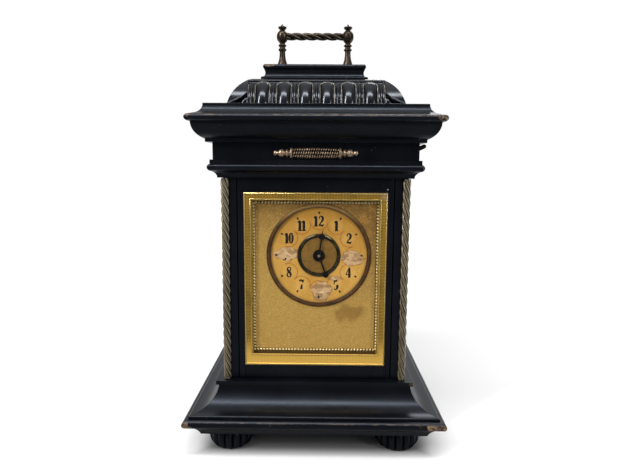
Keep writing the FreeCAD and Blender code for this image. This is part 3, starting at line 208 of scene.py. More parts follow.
ahead = Vector((math.sin(YAW) * math.cos(PITCH), math.cos(YAW) * math.cos(PITCH),
                -math.sin(PITCH)))
right = Vector((math.cos(YAW), -math.sin(YAW), 0.0))
up = right.cross(ahead)
tilted_right = right * math.cos(ROLL) + up * math.sin(ROLL)
tilted_up = up * math.cos(ROLL) - right * math.sin(ROLL)
camera = show("portrait_camera", bpy.data.cameras.new("portrait_camera"))
camera.data.sensor_width = 36.0
camera.data.lens = FOCAL_PIXELS / FRAME_WIDTH * camera.data.sensor_width
camera.data.clip_start = 0.01
camera.matrix_world = Matrix.Translation(EYE) @ Matrix(
    (tilted_right, tilted_up, -ahead)).transposed().to_4x4()
scene.camera = camera
scene.view_settings.view_transform = "Standard"
print("camera at", tuple(round(c, 4) for c in EYE), "lens", round(camera.data.lens, 2))

# %% Lamps, world and floor
MIDDLE = Vector((0.0, 0.0, 0.2))
for name, place, width, height, power in (
        ("left_soft_box", (-1.05, -1.0, 1.30), 0.17, 0.90, 26.0),
        ("right_soft_box", (1.15, -1.1, 0.95), 0.11, 0.80, 8.0),
        ("top_soft_box", (-0.05, -0.75, 1.75), 1.30, 0.24, 16.0),
        ("back_soft_box", (0.35, 1.25, 1.45), 0.90, 0.40, 9.0)):
    lamp = bpy.data.lights.new(name, "AREA")
    lamp.shape, lamp.size, lamp.size_y, lamp.energy = "RECTANGLE", width, height, power
    box = show(name, lamp)
    box.location = place
    box.rotation_euler = (MIDDLE - Vector(place)).to_track_quat("-Z", "Y").to_euler()

WHITE = (1.0, 1.0, 1.0, 1.0)
world = bpy.data.worlds.new("studio")
air = bench_for(world)
ray = air.add("ShaderNodeLightPath")
_, depth, height = air.parts(air.add("ShaderNodeTexCoord", None, None, "Generated"))
overhead, behind = height.ramp(0.2, 0.9), depth.ramp(0.0, 0.9)
seen = ray.at_least(air.other(ray, "Is Transmission Ray"))
matt_light = height.ramp(-0.1, 0.7) * 0.34 + 0.20
mirror_light = overhead * 0.30 + height.ramp(0.78, 1.0) * 0.55 + behind * 0.50 + 0.04
room = air.between(air.other(ray, "Is Glossy Ray"), matt_light, mirror_light)
sky = air.add("ShaderNodeBackground", None,
              {"Color": WHITE, "Strength": air.between(seen, room, 1.0)})
air.add("ShaderNodeOutputWorld", None, {"Surface": sky})
scene.world = world


def mesh_object(name, corners, faces):
    mesh = bpy.data.meshes.new(name)
    mesh.from_pydata([tuple(c) for c in corners], [], [tuple(f) for f in faces])
    mesh.update()
    return show(name, mesh)


SWEEP = 3.0
floor = mesh_object("paper_floor", [(x * SWEEP, y * SWEEP, 0) for x, y in
                                    ((-1, -1), (1, -1), (1, 1), (-1, 1))], [(0, 1, 2, 3)])
paper_white = bpy.data.materials.new("floor_paper")
b = bench_for(paper_white)
ray = b.add("ShaderNodeLightPath")
glossy = b.other(ray, "Is Glossy Ray")
seen = ray.at_least(glossy).at_least(b.other(ray, "Is Transmission Ray"))
x, y, _ = b.parts(b.add("ShaderNodeTexCoord", None, None, "Object"))
# Painted shadow: the floor's colour is darkened under the clock's footprint.
painted_contact_shadow = outside(x, y, 0.092, 0.076, 0.002).ramp(0.010, -0.006)
table = glossy * y.ramp(0.02, -0.12)
tone = b.coats((0.82, 0.82, 0.82), (painted_contact_shadow * 0.72, (0.06, 0.06, 0.06)),
               (table * 0.80, (0.0, 0.0, 0.0)))
matt = b.add("ShaderNodeBsdfDiffuse", None, {"Color": tone})
far = distance(x, y).ramp(0.35, 1.3)
clear = outside(x, y, 0.107, 0.0800, 0.010).ramp(-0.004, 0.024)
strength = seen * clear * (1.0 - table) * (far * 0.66 + 0.11)
glow = b.add("ShaderNodeEmission", None, {"Color": WHITE, "Strength": strength})
both = b.add("ShaderNodeAddShader", None, {0: matt, 1: glow})
b.add("ShaderNodeOutputMaterial", None, {"Surface": both})
floor.data.materials.append(paper_white)
print("studio set: four soft boxes round a white sweep")

# %% [markdown]
# ## Finishes
# Every finish is a recipe of noise, cell and distance patterns on the object's own
# coordinates, so it stays on the piece when a door opens. The black wood is stained and
# waxed pear: a blue-black skin over brown timber, with tan wear where hands and cloths
# reach it, along the rims and most of all at their corners.


# %% The blank finish
def new_finish(name):
    """A material with its bench and the object's own coordinates."""
    made = bpy.data.materials.new(name)
    bench = bench_for(made)
    return made, bench, bench.add("ShaderNodeTexCoord", None, None, "Object")


def close_finish(bench, colour, rough, relief, depth, strength, more=None):
    """Adds the shader and its output; relief is a height field for the bump."""
    bump = bench.add("ShaderNodeBump", None,
                     {"Height": relief, "Distance": depth, "Strength": strength})
    shader = bench.add("ShaderNodeBsdfPrincipled", None,
                       {"Base Color": colour, "Roughness": rough, "Normal": bump, **(more or {})})
    bench.add("ShaderNodeOutputMaterial", None, {"Surface": shader})


print("a blank finish is ready")

# %% Black waxed wood
CAP_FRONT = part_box("cap_block")[0].y
# Rims that hands rub: out from the body, height, half thickness, share worn, and what is
# added at the corners and at the right-hand end.
RIMS = ((0.0310, 0.0320, 0.0035, 1.0, 0.20, 0.09), (0.0111, 0.2387, 0.0028, 0.8, 0.09, 0.03),
        (0.0242, 0.2766, 0.0026, 1.0, 0.10, 0.03))
LIP_CORNERS = ((0.0290, 0.0376), (0.0071, 0.0584))
BODY_HALF_X, BODY_HALF_Y = 0.076, 0.0685


def black_wood(name, grain, seed=0.0):
    """Ebonised wood; grain is the stretch of the pores, small along the run."""
    made, b, place = new_finish(name)
    x, y, z = b.parts(place)
    pores = b.noise(place, 900.0, 4.0, 0.6, grain, (seed, 0.0, 0.0))
    cloud = b.noise(place, 28.0, 4.0, 0.6, shift=(seed, 3.0, 1.0))
    fine = b.noise(place, 160.0, 5.0, 0.65, shift=(1.0, seed, 0.0))
    out_x, out_y = x.size() - BODY_HALF_X, y.size() - BODY_HALF_Y
    reach, both = out_x.at_least(out_y), out_x.at_most(out_y)
    wear = 0.0
    for nose, height, half, share, handled, right_end in RIMS:
        near = (reach - nose).size().ramp(0.0014, 0.0002)
        arris = (z - height - half * 0.80).size().ramp(0.0010, 0.0002)
        belly = (z - height).size().ramp(half + 0.0012, half * 0.6)
        corner = (both - nose).size().ramp(0.022, 0.001)
        line = arris * (fine * 0.8 + cloud * 0.5 + corner * 0.04).ramp(0.54, 0.72) * 0.9
        touched = corner * handled + x.ramp(0.058, 0.096) * right_end
        patch = belly * (fine * 0.60 + cloud * 0.5 + touched).ramp(0.70, 0.77)
        wear = near * share * line.at_least(patch) + wear
    chip = ((x + 0.0405) / 0.0052) ** 2.0 + ((z - 0.3254) / 0.0015) ** 2.0 + fine * 0.6
    wear = wear + chip.ramp(1.25, 0.95) * (y - CAP_FRONT).size().ramp(0.0042, 0.0012)
    for nose, height in LIP_CORNERS:
        spot = (both - nose).size().ramp(0.0042, 0.0014) * (z - height).size().ramp(0.0015, 0.0006)
        spot = spot * (fine * 0.6 + cloud * 0.6 + x * 1.6).ramp(0.60, 0.74)
        wear = wear + spot * (reach - nose).size().ramp(0.003, 0.001)
    wear = wear.at_most(1.0)
    rare = b.noise(place, 90.0, 2.0, 0.5, shift=(7.0, 2.0, seed)).ramp(0.60, 0.66)
    speck = b.cells(place, 330.0).ramp(0.12, 0.06) * rare
    black = b.blend(cloud.ramp(0.35, 0.75), (0.0008, 0.0011, 0.0022), (0.0024, 0.0028, 0.0044))
    tan = b.blend(fine.ramp(0.40, 0.66), (0.034, 0.020, 0.011), (0.24, 0.150, 0.083))
    colour = b.coats(black, (pores.ramp(0.60, 0.85) * 0.4, (0.007, 0.006, 0.006)), (wear, tan),
                     (speck * 0.6, (0.20, 0.18, 0.15)))
    rough = b.between(wear, 0.22 + cloud * 0.14 + pores * 0.05, 0.55)
    close_finish(b, colour, rough, pores * 0.35 + fine * 0.5 - wear * 0.5, 0.00012, 0.25,
                 {"Specular IOR Level": 0.36, "Specular Tint": (0.72, 0.82, 1.0, 1.0)})
    return made


black_x = black_wood("black_wood_along_x", (0.06, 1.0, 1.0))
black_y = black_wood("black_wood_along_y", (1.0, 0.06, 1.0), 5.0)
black_z = black_wood("black_wood_along_z", (1.0, 1.0, 0.06), 9.0)
print("black wood: three cuts of the grain")

# %% Brasses and steels
def metal(name, light, dark, rough, patina, scale, shine=1.0, grooves=None, bump=0.3,
          brushed=(1, 1, 1), streak=None, painted_highlight=None):
    """A metal with clouded patina; grooves names an attribute that is 1 in the hollows.

    painted_highlight is the colour of a painted highlight line along one side of each lobe."""
    made, b, place = new_finish(name)
    cloud = b.noise(place, scale, 5.0, 0.62)
    fine = b.noise(place, scale * 9.0, 3.0, 0.6, brushed)
    share = (cloud * 0.75 + fine * 0.35).ramp(0.42, 0.72) * patina
    if grooves:
        share = (share + b.mark(grooves).ramp(0.30, 0.85) * 0.85).at_most(1.0)
    colour = b.blend(share, light, dark)
    if streak:
        lines = b.noise(place, scale * 2.2, 4.0, 0.6, shift=(4.0, 1.0, 2.0))
        colour = b.blend(lines.ramp(0.56, 0.70) * 0.7, colour, streak)
    # Painted highlight: a bright line along one side of each lobe, from the edge mark.
    if painted_highlight:
        colour = b.blend(b.mark("edge") * (0.55 + cloud * 0.5).at_most(1.0), colour, painted_highlight)
    close_finish(b, colour, rough + share * 0.22 + fine * 0.08, fine * 0.5 + cloud, 0.00012, bump,
                 {"Metallic": shine, "Specular IOR Level": 0.5 if shine > 0.95 else 0.12})
    return made


column_brass = metal("aged_column_brass", (0.235, 0.195, 0.128), (0.009, 0.007, 0.005),
                     0.33, 0.45, 70.0, 0.80, "groove", painted_highlight=(0.80, 0.74, 0.57))
handle_metal = metal("dark_handle_bronze", (0.062, 0.047, 0.034), (0.008, 0.006, 0.005),
                     0.28, 0.7, 90.0, 0.85, "groove", painted_highlight=(0.13, 0.12, 0.09))
ornament_brass = metal("dull_ornament_brass", (0.56, 0.41, 0.28), (0.008, 0.005, 0.003),
                       0.30, 0.40, 80.0, 0.85, "groove")
rope_brass = metal("pearl_rope_brass", (0.97, 0.80, 0.42), (0.60, 0.42, 0.13),
                   0.28, 0.35, 140.0, 0.7, bump=0.4)
movement_brass = metal("lacquered_plate_brass", (0.72, 0.55, 0.25), (0.42, 0.30, 0.12),
                       0.25, 0.4, 40.0, bump=0.2, brushed=(0.1, 1, 1))
bell_metal = metal("turned_bell_metal", (0.62, 0.50, 0.28), (0.33, 0.25, 0.13),
                   0.24, 0.4, 30.0, bump=0.25, brushed=(1, 1, 0.05))
grey_steel = metal("plain_steel", (0.36, 0.35, 0.34), (0.16, 0.14, 0.12), 0.32, 0.5, 90.0, 0.95)
blue_steel = metal("blued_hand_steel", (0.014, 0.014, 0.016), (0.030, 0.022, 0.015),
                   0.34, 0.45, 140.0, 0.8)
centre_brass = metal("stained_centre_brass", (0.275, 0.150, 0.034), (0.110, 0.060, 0.014),
                     0.42, 0.6, 150.0, 0.5, bump=0.5, streak=(0.32, 0.14, 0.026))
lever_steel = metal("browned_lever_steel", (0.022, 0.018, 0.015), (0.008, 0.007, 0.006),
                    0.36, 0.5, 120.0, 0.85)
print("metals mixed")

# %% Dressing helpers
def give(thing, finish):
    """Replaces every finish on an object."""
    thing.data.materials.clear()
    thing.data.materials.append(finish)


@contextmanager
def reshaping(mesh, *sources):
    """Opens a mesh, or other meshes in its place, for work and puts the result into it."""
    shape = bmesh.new()
    for source in sources or (mesh,):
        shape.from_mesh(source)
    yield shape
    shape.to_mesh(mesh)
    shape.free()


def evaluated(thing):
    """An object's mesh with its modifiers carried out."""
    bpy.context.view_layer.update()
    graph = bpy.context.evaluated_depsgraph_get()
    return bpy.data.meshes.new_from_object(thing.evaluated_get(graph))


def settle(thing, weld):
    """Turns an object and its modifiers into one plain, closed, outward mesh at the origin."""
    baked = evaluated(thing)
    baked.transform(thing.matrix_world)
    thing.modifiers.clear()
    thing.matrix_world = Matrix.Identity(4)
    with reshaping(baked) as shape:
        bmesh.ops.remove_doubles(shape, verts=shape.verts, dist=weld)
        bmesh.ops.dissolve_degenerate(shape, dist=weld * 0.5, edges=shape.edges)
        bmesh.ops.recalc_face_normals(shape, faces=shape.faces)
    old, thing.data = thing.data, baked
    if old.users == 0:
        bpy.data.meshes.remove(old)
    return thing


def smooth(thing, degrees):
    """Rounds the shading, but keeps edges sharper than the angle."""
    thing.data.polygons.foreach_set("use_smooth", [True] * len(thing.data.polygons))
    thing.data.set_sharp_from_angle(angle=math.radians(degrees))
    return thing


def piece(thing, body, slot_name, *nodes):
    """Puts a finished piece on its body, in place of the named solids."""
    if nodes:
        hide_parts(*nodes)
    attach(thing, body)
    faces = sum(len(f.vertices) - 2 for f in thing.data.polygons)
    print("%-28s %6d triangles on %s" % (thing.name, faces, body))


ARRIS = 0.35 * MM
SHARP, FLAT = math.radians(28.0), math.radians(0.4)


def eased(node, finish, body="case"):
    """A copy of a solid with its arrises rounded, as wood is after years of dusting."""
    made = solids[node].copy()
    made.data = solids[node].data.copy()
    made.name = "dressed_" + node
    made.parent = None
    for key in list(made.keys()):
        del made[key]
    scene.collection.objects.link(made)
    with reshaping(made.data) as shape:
        bmesh.ops.remove_doubles(shape, verts=shape.verts, dist=0.000004)
        bmesh.ops.dissolve_limit(shape, angle_limit=FLAT, verts=shape.verts, edges=shape.edges)
    bevel = made.modifiers.new("eased", "BEVEL")
    bevel.width, bevel.segments, bevel.limit_method = ARRIS, 2, "ANGLE"
    bevel.angle_limit, bevel.use_clamp_overlap = SHARP, True
    settle(made, 0.000002)
    give(made, finish)
    smooth(made, 34.0)
    made.modifiers.new("flat_faces_stay_flat", "WEIGHTED_NORMAL").keep_sharp = True
    lit = evaluated(made)
    made.modifiers.clear()
    made.data = lit
    piece(made, body, "ebonised_wood", node)


print("dressing helpers ready; arrises are eased by", ARRIS / MM, "mm")

# %% [markdown]
# ## Mouldings, boards and doors
# The mouldings are planed battens, mitred at the corners. Their shape is already right
# in the solids, so each is copied, its arrises are eased by a third of a millimetre, and
# it gets wood whose grain runs along it. The eased arris is what catches the thin bright
# line of light on black wood.

# %% The wood of the case
for moulding in ("base_moulding", "entablature", "cornice"):
    for side, finish in (("front", black_x), ("back", black_x), ("left", black_y),
                         ("right", black_y)):
        eased("%s_%s" % (moulding, side), finish)
for part, finish, body in (
        ("side_panel_left", black_z, "case"), ("side_panel_right", black_z, "case"),
        ("base_board", black_x, "case"), ("top_board", black_x, "case"),
        ("cap_block", black_x, "case"), ("door_stile_left", black_z, "front_door"),
        ("door_stile_right", black_z, "front_door"), ("door_rail_bottom", black_x, "front_door"),
        ("door_rail_top", black_x, "front_door"), ("back_door", black_z, "back_door")):
    eased(part, finish, body)

# %% [markdown]
# ## A tree for anything that follows a rule
# Twisted columns, the handle, fluted feet and the ribbed top all follow a rule, so
# Geometry Nodes make them. Each tree starts from a flat grid whose two directions become
# the way along the piece and the way round it. A short sum then says how far the surface
# stands from the axis at each point.


# %% The tree and its modifier
class Jig(Bench):
    """A Geometry Nodes tree with named sizes."""

    def __init__(self, name, sizes, counts=""):
        super().__init__(bpy.data.node_groups.new(name, "GeometryNodeTree"))
        self.tree.is_modifier = True
        self.sockets = {}
        labels = [(label, "Float") for label in sizes.split(", ")]
        labels += [(label, "Int") for label in counts.split(", ") if label]
        labels = [("Geometry", "Geometry")] + labels + [("Finish", "Material")]
        for label, kind in labels:
            socket = self.tree.interface.new_socket(
                label, in_out="INPUT", socket_type="NodeSocket" + kind)
            self.sockets[label] = socket.identifier
        self.tree.interface.new_socket(
            "Geometry", in_out="OUTPUT", socket_type="NodeSocketGeometry")
        self.inlet = self.tree.nodes.new("NodeGroupInput")

    def __getitem__(self, label):
        """A named size."""
        return Wire(self, self.inlet.outputs[label])

    def grid(self, along, around):
        """A unit grid: its corners run from -0.5 to 0.5 both ways."""
        return self.add("GeometryNodeMeshGrid", None, {"Size X": 1.0, "Size Y": 1.0,
                                                       "Vertices X": along, "Vertices Y": around})

    def spot(self):
        return self.parts(self.add("GeometryNodeInputPosition"))

    def along_and_round(self):
        """The way along from the middle, the same from the start, and the angle round."""
        u, v, _ = self.spot()
        return u, u + 0.5, (v + 0.5) * math.tau

    def put(self, geometry, position):
        return self.add("GeometryNodeSetPosition", None,
                        {"Geometry": geometry, "Position": position})

    def store(self, geometry, label, value):
        return self.add("GeometryNodeStoreNamedAttribute",
                        {"data_type": "FLOAT", "domain": "POINT"},
                        {"Geometry": geometry, "Name": label, "Value": value})

    def end(self, geometry):
        whole = self.add("GeometryNodeRealizeInstances", None, {"Geometry": geometry})
        dressed = self.add("GeometryNodeSetMaterial", None,
                           {"Geometry": whole, "Material": self["Finish"]})
        outlet = self.tree.nodes.new("NodeGroupOutput")
        self.tree.links.new(dressed.socket, outlet.inputs[0])
        print("%s: a tree of %d nodes" % (self.tree.name, len(self.tree.nodes)))

    def make(self, name, values, place):
        """Runs the tree on an empty mesh and keeps the result as a plain one."""
        made = mesh_object(name, [], [])
        push = made.modifiers.new(name, "NODES")
        push.node_group = self.tree
        for label, value in values.items():
            push[self.sockets[label]] = value
        made.matrix_world = place
        return settle(made, 0.00001)


QUARTER = math.pi / 2
FACE_ON = Matrix.Rotation(QUARTER, 4, "X")
print("each tree says how many nodes it has")

# %% [markdown]
# ## Twisted rods
# A rope-turned column has a few rounded lobes that run round it as they rise. Round the
# rod the radius is largest on a crest and pinched in a narrow valley, so the rule is a
# parabola across each lobe: it is broad on top and sharp at the foot. The place across a
# lobe turns with height. One thin line on one side of each lobe carries a painted highlight.

# %% The twisted rod's tree
rod = Jig("twisted_rod", "Length, Radius, Lobes, Turns, Depth", "Along, Around")
_, s, angle = rod.along_and_round()
phase = (angle / math.tau + s * rod["Turns"]) * rod["Lobes"]
across = phase - phase.sum_of("FLOOR", phase)
swell = 1.0 - ((across - 0.5).size() * 2.0) ** 2.2
reach = rod["Radius"] * (1.0 - rod["Depth"] * (1.0 - swell))
reach = reach * (s * 1000.0).at_most(1.0) * ((1.0 - s) * 1000.0).at_most(1.0)
sheet = rod.store(rod.grid(rod["Along"], rod["Around"]), "groove", 1.0 - swell)
# The edge mark is a thin line on one side of each lobe, where a painted highlight goes.
sheet = rod.store(sheet, "edge", (across - 0.20).size().ramp(0.10, 0.03))
rod.end(rod.put(sheet, rod.vector(reach * angle.cosine(), reach * angle.sine(),
                                  s * rod["Length"])))

for hand, turns in (("left", 5.75), ("right", 4.75)):
    low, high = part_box("column_" + hand)
    axis = (low + high) / 2
    column = rod.make("twisted_column_" + hand,
                      {"Length": high.z - low.z, "Radius": (high.x - low.x) / 2, "Lobes": 4.0,
                       "Turns": turns, "Depth": 0.46, "Along": 420, "Around": 65,
                       "Finish": column_brass}, Matrix.Translation((axis.x, axis.y, low.z)))
    piece(smooth(column, 70.0), "case", "aged_brass", "column_" + hand)

low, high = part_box("handle_bar")
axis = (low + high) / 2
bar = rod.make("twisted_handle_bar",
               {"Length": high.x - low.x, "Radius": (high.z - low.z) / 2, "Lobes": 3.0,
                "Turns": -1.94, "Depth": 0.46, "Along": 160, "Around": 72,
                "Finish": handle_metal},
               Matrix.Translation((low.x, axis.y, axis.z)) @ Matrix.Rotation(QUARTER, 4, "Y"))
piece(smooth(bar, 70.0), "case", "handle_brass", "handle_bar")

# %% [markdown]
# ## Turned posts
# The handle's posts are turned in a lathe: a flared foot, a bell, a slender shaft with
# two rings, a ball for the bar and a little crowned finial. A turned piece is a profile
# swept round an axis, so the profile is a short list of radii and heights, smoothed by
# a curve between the points that aren't meant to be sharp.


# %% The lathe
def lathe(name, profile, steps, finish, place=Matrix.Identity(4)):
    """A closed turned piece from (radius, height) pairs in millimetres."""
    corners, faces, rings = [], [], []
    for radius, height in profile:
        count = steps if radius >= 0.01 else 1
        rings.append(list(range(len(corners), len(corners) + count)))
        for k in range(count):
            turn, out = math.tau * k / steps, radius * MM if count > 1 else 0.0
            corners.append((out * math.cos(turn), out * math.sin(turn), height * MM))
    for below, above in zip(rings, rings[1:]):
        for k in range(steps):
            a, c = below[k % len(below)], below[(k + 1) % len(below)]
            d, e = above[k % len(above)], above[(k + 1) % len(above)]
            face = [a] + ([c] if c != a else []) + ([e] if e != d else []) + [d]
            if len(face) > 2:
                faces.append(face)
    made = mesh_object(name, corners, faces)
    made.matrix_world = place
    settle(made, 0.000002)
    give(made, finish)
    return smooth(made, 45.0)


def neighbours(points, i):
    return [points[max(i - 1, 0)], points[i], points[i + 1], points[min(i + 2, len(points) - 1)]]


def bend(four, t):
    """A point of the smooth curve from the second of four points to the third."""
    return [0.5 * (2 * b + (c - a) * t + (2 * a - 5 * b + 4 * c - d) * t * t
                   + (3 * b - a - 3 * c + d) * t ** 3) for a, b, c, d in zip(*four)]


def eased_profile(points, steps):
    """A smooth run through (radius, height) points; a doubled point stays sharp."""
    out = []
    for i in range(len(points) - 1):
        before, here, there, after = neighbours(points, i)
        if here == there:
            continue
        if before == here or i == 0:
            before = (2 * here[0] - there[0], 2 * here[1] - there[1])
        if after == there:
            after = (2 * there[0] - here[0], 2 * there[1] - here[1])
        out += [bend((before, here, there, after), k / steps) for k in range(steps)]
    out.append(points[-1])
    return [(max(r, 0.0), h) for r, h in out]


POST = [(0.0, 0.0), (6.4, 0.0), (6.4, 0.0), (6.4, 1.5), (6.0, 2.1), (6.0, 2.1), (4.9, 2.6),
        (4.9, 2.6), (4.8, 4.4), (4.4, 6.6), (3.7, 8.8), (3.1, 11.0), (2.75, 13.5), (2.6, 16.0),
        (2.6, 18.0), (2.6, 18.0), (3.4, 18.5), (3.65, 19.2), (3.4, 20.0), (2.6, 20.5),
        (2.6, 20.5), (2.5, 21.3), (2.6, 21.9), (2.6, 21.9), (3.4, 22.2), (3.65, 22.9),
        (3.3, 23.7), (2.4, 24.3), (2.4, 24.3), (2.5, 25.2), (3.5, 26.2), (4.8, 28.2),
        (5.15, 30.8), (4.7, 33.5), (3.3, 35.4), (2.2, 36.2), (2.2, 36.2), (2.4, 36.8),
        (3.4, 37.7), (3.85, 38.5), (3.8, 39.2), (3.8, 39.2), (2.3, 39.9), (1.3, 40.6),
        (0.7, 41.3), (0.0, 41.8)]
POST_TALL = 0.0418
for hand in ("left", "right"):
    low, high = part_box("handle_post_" + hand)
    spot = ((low.x + high.x) / 2, (low.y + high.y) / 2, high.z - POST_TALL)
    piece(lathe("turned_post_" + hand, eased_profile(POST, 4), 44, handle_metal,
                Matrix.Translation(spot)), "case", "handle_brass", "handle_post_" + hand)

# %% [markdown]
# ## Fluted bun feet
# Each foot is a squat bun cut with sixteen rounded flutes. The rule is the same as for
# the rod, with no twist: the profile gives the radius at each height, and the flutes
# fade out at the sole and at the seat.

# %% The bun foot's tree
SOLE_SHARE, BELLY_HEIGHT, BULGE_RADIUS = 0.06, 0.5523, 0.0118
bun = Jig("fluted_bun", "Height, Belly, Flutes, Depth", "Around")
_, s, angle = bun.along_and_round()
inside = ((s - SOLE_SHARE) / (1.0 - 2.0 * SOLE_SHARE)).at_least(0.0).at_most(1.0)
level = inside * bun["Height"]
hip = level - bun["Height"] * BELLY_HEIGHT
profile = bun["Belly"] - BULGE_RADIUS + (BULGE_RADIUS * BULGE_RADIUS - hip * hip).root()
crest = (angle * bun["Flutes"] * 0.5).cosine().size() ** 0.55
fade = (inside * (1.0 - inside) * 4.0).at_least(0.0) ** 0.35
radius = profile * (1.0 - bun["Depth"] * (1.0 - crest) * fade)
closing = (s / SOLE_SHARE).at_most(1.0) * ((1.0 - s) / SOLE_SHARE).at_most(1.0)
sheet = bun.store(bun.grid(58, bun["Around"]), "groove", (1.0 - crest) * fade)
bun.end(bun.put(sheet, bun.vector(radius * closing * angle.cosine(),
                                  radius * closing * angle.sine(), level)))

for depth in ("front", "back"):
    for hand in ("left", "right"):
        corner = "foot_%s_%s" % (depth, hand)
        low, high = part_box(corner)
        foot = bun.make("fluted_" + corner,
                        {"Height": high.z - low.z, "Belly": (high.x - low.x) / 2,
                         "Flutes": 16.0, "Depth": 0.17, "Around": 193, "Finish": black_z},
                        Matrix.Translation(((low.x + high.x) / 2, (low.y + high.y) / 2, low.z)))
        piece(smooth(foot, 80.0), "case", "ebonised_wood", corner)

# %% [markdown]
# ## The gadrooned top
# The top is a four-sided cushion cut with wide convex ribs, called gadroons. Between
# each pair stands a narrow dart, edged with two worn ridges, and a plain leaf wraps each
# corner. One tree makes a side: the grid is laid over the curve of the cushion, cut off
# at the mitre, and then raised or sunk by the distance from the nearest rib.

# %% The gadrooned side's tree
DOME_LOW, DOME_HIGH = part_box("gadrooned_dome")
ARC_RADIUS, ARC_FOOT, ARC_CROWN = 34.5, math.radians(11.49), math.radians(63.1)
RIB_PITCH, RIB_HALF, RIB_TALL, RIB_END, FIELD_DEPTH = 17.6, 5.0, 2.6, 20.6, 1.8
side = Jig("gadrooned_side", "Half Length, Half Depth, Shift", "Along, Up")
u, v, _ = side.spot()
arc = ARC_FOOT + (v + 0.5) * (ARC_CROWN - ARC_FOOT)
inset = 33.81 - ARC_RADIUS * arc.cosine()
rise = ARC_RADIUS * arc.sine() - 6.87
t = (arc - ARC_FOOT) * ARC_RADIUS
half = side["Half Length"]
x = u * 2.0 * half
mitre = half - inset
from_mitre = (mitre - x.size()).at_least(0.0)
# The ribs and the darts between them, from the distance to the nearest rib's middle.
beat = (x - side["Shift"]) / RIB_PITCH
off = (x - (beat.sum_of("ROUND", beat) * RIB_PITCH + side["Shift"])).size()
over = (t - RIB_END).at_least(0.0)
shape = distance(off, over) - RIB_HALF
bulge = (1.0 - ((shape + RIB_HALF) / RIB_HALF) ** 2.0).root()
lobe = (shape * -1.0).above(0.0) * bulge * RIB_TALL
ridge = 1.0 - ((shape - 0.85).size() / 0.62).at_most(1.0) ** 2.0
tongue = (1.0 - ((RIB_PITCH / 2 - off) / 1.25) ** 2.0).root() * (t - 24.0).ramp(2.0, 0.0)
dart = (ridge * 1.25).at_least(tongue * 1.3)
top_flat = (t - 26.4).ramp(0.0, 1.6)
ribs = lobe.at_least(dart) * (1.0 - top_flat) - FIELD_DEPTH + top_flat * 1.7
# The leaf that wraps each corner.
climb = side.between((from_mitre - 9.0).ramp(0.0, 6.0), from_mitre * 0.55, 11.5)
in_leaf = (x.size() - half + 16.2).ramp(-0.4, 0.4)
over_edge = (t - climb).ramp(-0.5, 0.5)
corner_lobe = (1.0 - (((from_mitre - 13.2) / 3.4) ** 2.0 + ((t - 4.0) / 5.0) ** 2.0)).root() * 2.4
rolled = (t - climb - 1.1).size().ramp(1.1, 0.2) * 0.5
leaf = side.between(over_edge, corner_lobe - 2.6, 0.25 + rolled)
relief = side.between(in_leaf, ribs, leaf)
out_by = relief * arc.cosine()
limit = mitre + out_by
x_cut = x.at_most(limit).at_least(limit * -1.0)
depth_out = side["Half Depth"] - inset + out_by
lift = rise + relief * arc.sine()
sheet = side.store(side.grid(side["Along"], side["Up"]), "ridge",
                   ridge * (1.0 - in_leaf) * (1.0 - top_flat))
sheet = side.store(sheet, "hollow", (relief * -0.45).at_least(0.0).at_most(1.0))
sheet = side.put(sheet, side.vector(x_cut * MM, depth_out * -MM, lift.at_least(0.0) * MM))
turned = side.add("GeometryNodeTransform", None,
                  {"Geometry": sheet, "Rotation": (0.0, 0.0, math.pi)})
both = side.tree.nodes.new("GeometryNodeJoinGeometry")
for half_of_top in (sheet, turned):
    side.tree.links.new(half_of_top.socket, both.inputs[0])
side.end(Wire(side, both.outputs[0]))

# %% Worn ridges for the gadroons
def gadroon_wood():
    made, b, place = new_finish("gadrooned_black_wood")
    cloud = b.noise(place, 40.0, 4.0, 0.6)
    fine = b.noise(place, 240.0, 4.0, 0.65)
    wear = b.mark("ridge").ramp(0.40, 0.90) * (fine * 0.7 + cloud * 0.5).ramp(0.42, 0.60)
    black = b.blend(cloud.ramp(0.35, 0.75), (0.0014, 0.0018, 0.0034), (0.0042, 0.0050, 0.0075))
    pale = b.blend(fine.ramp(0.4, 0.7), (0.14, 0.125, 0.10), (0.42, 0.39, 0.34))
    colour = b.coats(black, (b.mark("hollow") * 0.6, (0.0008, 0.0008, 0.0012)),
                     (wear * 0.9, pale))
    close_finish(b, colour, b.between(wear, 0.12 + fine * 0.10, 0.5), fine * 0.4 + cloud * 0.3,
                 0.00016, 0.4,
                 {"Specular IOR Level": 0.42, "Specular Tint": (0.84, 0.90, 1.0, 1.0)})
    return made


gadroon_black = gadroon_wood()
half_x, half_y = (DOME_HIGH.x - DOME_LOW.x) / 2 / MM, (DOME_HIGH.y - DOME_LOW.y) / 2 / MM
print("the top is %.1f by %.1f mm" % (2 * half_x, 2 * half_y))
foot_of_dome = Matrix.Translation((0, 0, DOME_LOW.z))
front_back = side.make("dome_front_back",
                       {"Half Length": half_x, "Half Depth": half_y, "Shift": RIB_PITCH / 2,
                        "Along": 441, "Up": 55, "Finish": gadroon_black}, foot_of_dome)
left_right = side.make("dome_left_right",
                       {"Half Length": half_y, "Half Depth": half_x, "Shift": 0.0,
                        "Along": 397, "Up": 55, "Finish": gadroon_black},
                       foot_of_dome @ Matrix.Rotation(QUARTER, 4, "Z"))

# %% Close the top into one piece
def gathered(name, things, finish):
    """Several shapes as one object; nothing is welded."""
    mesh = bpy.data.meshes.new(name)
    with reshaping(mesh, *[thing.data for thing in things]):
        pass
    for thing in things:
        bpy.data.objects.remove(thing)
    made = show(name, mesh)
    give(made, finish)
    return made


def on_mitre(spot):
    """How far a point is from the upright plane through the nearest corner's mitre."""
    return (half_x * MM - abs(spot.x)) - (half_y * MM - abs(spot.y))


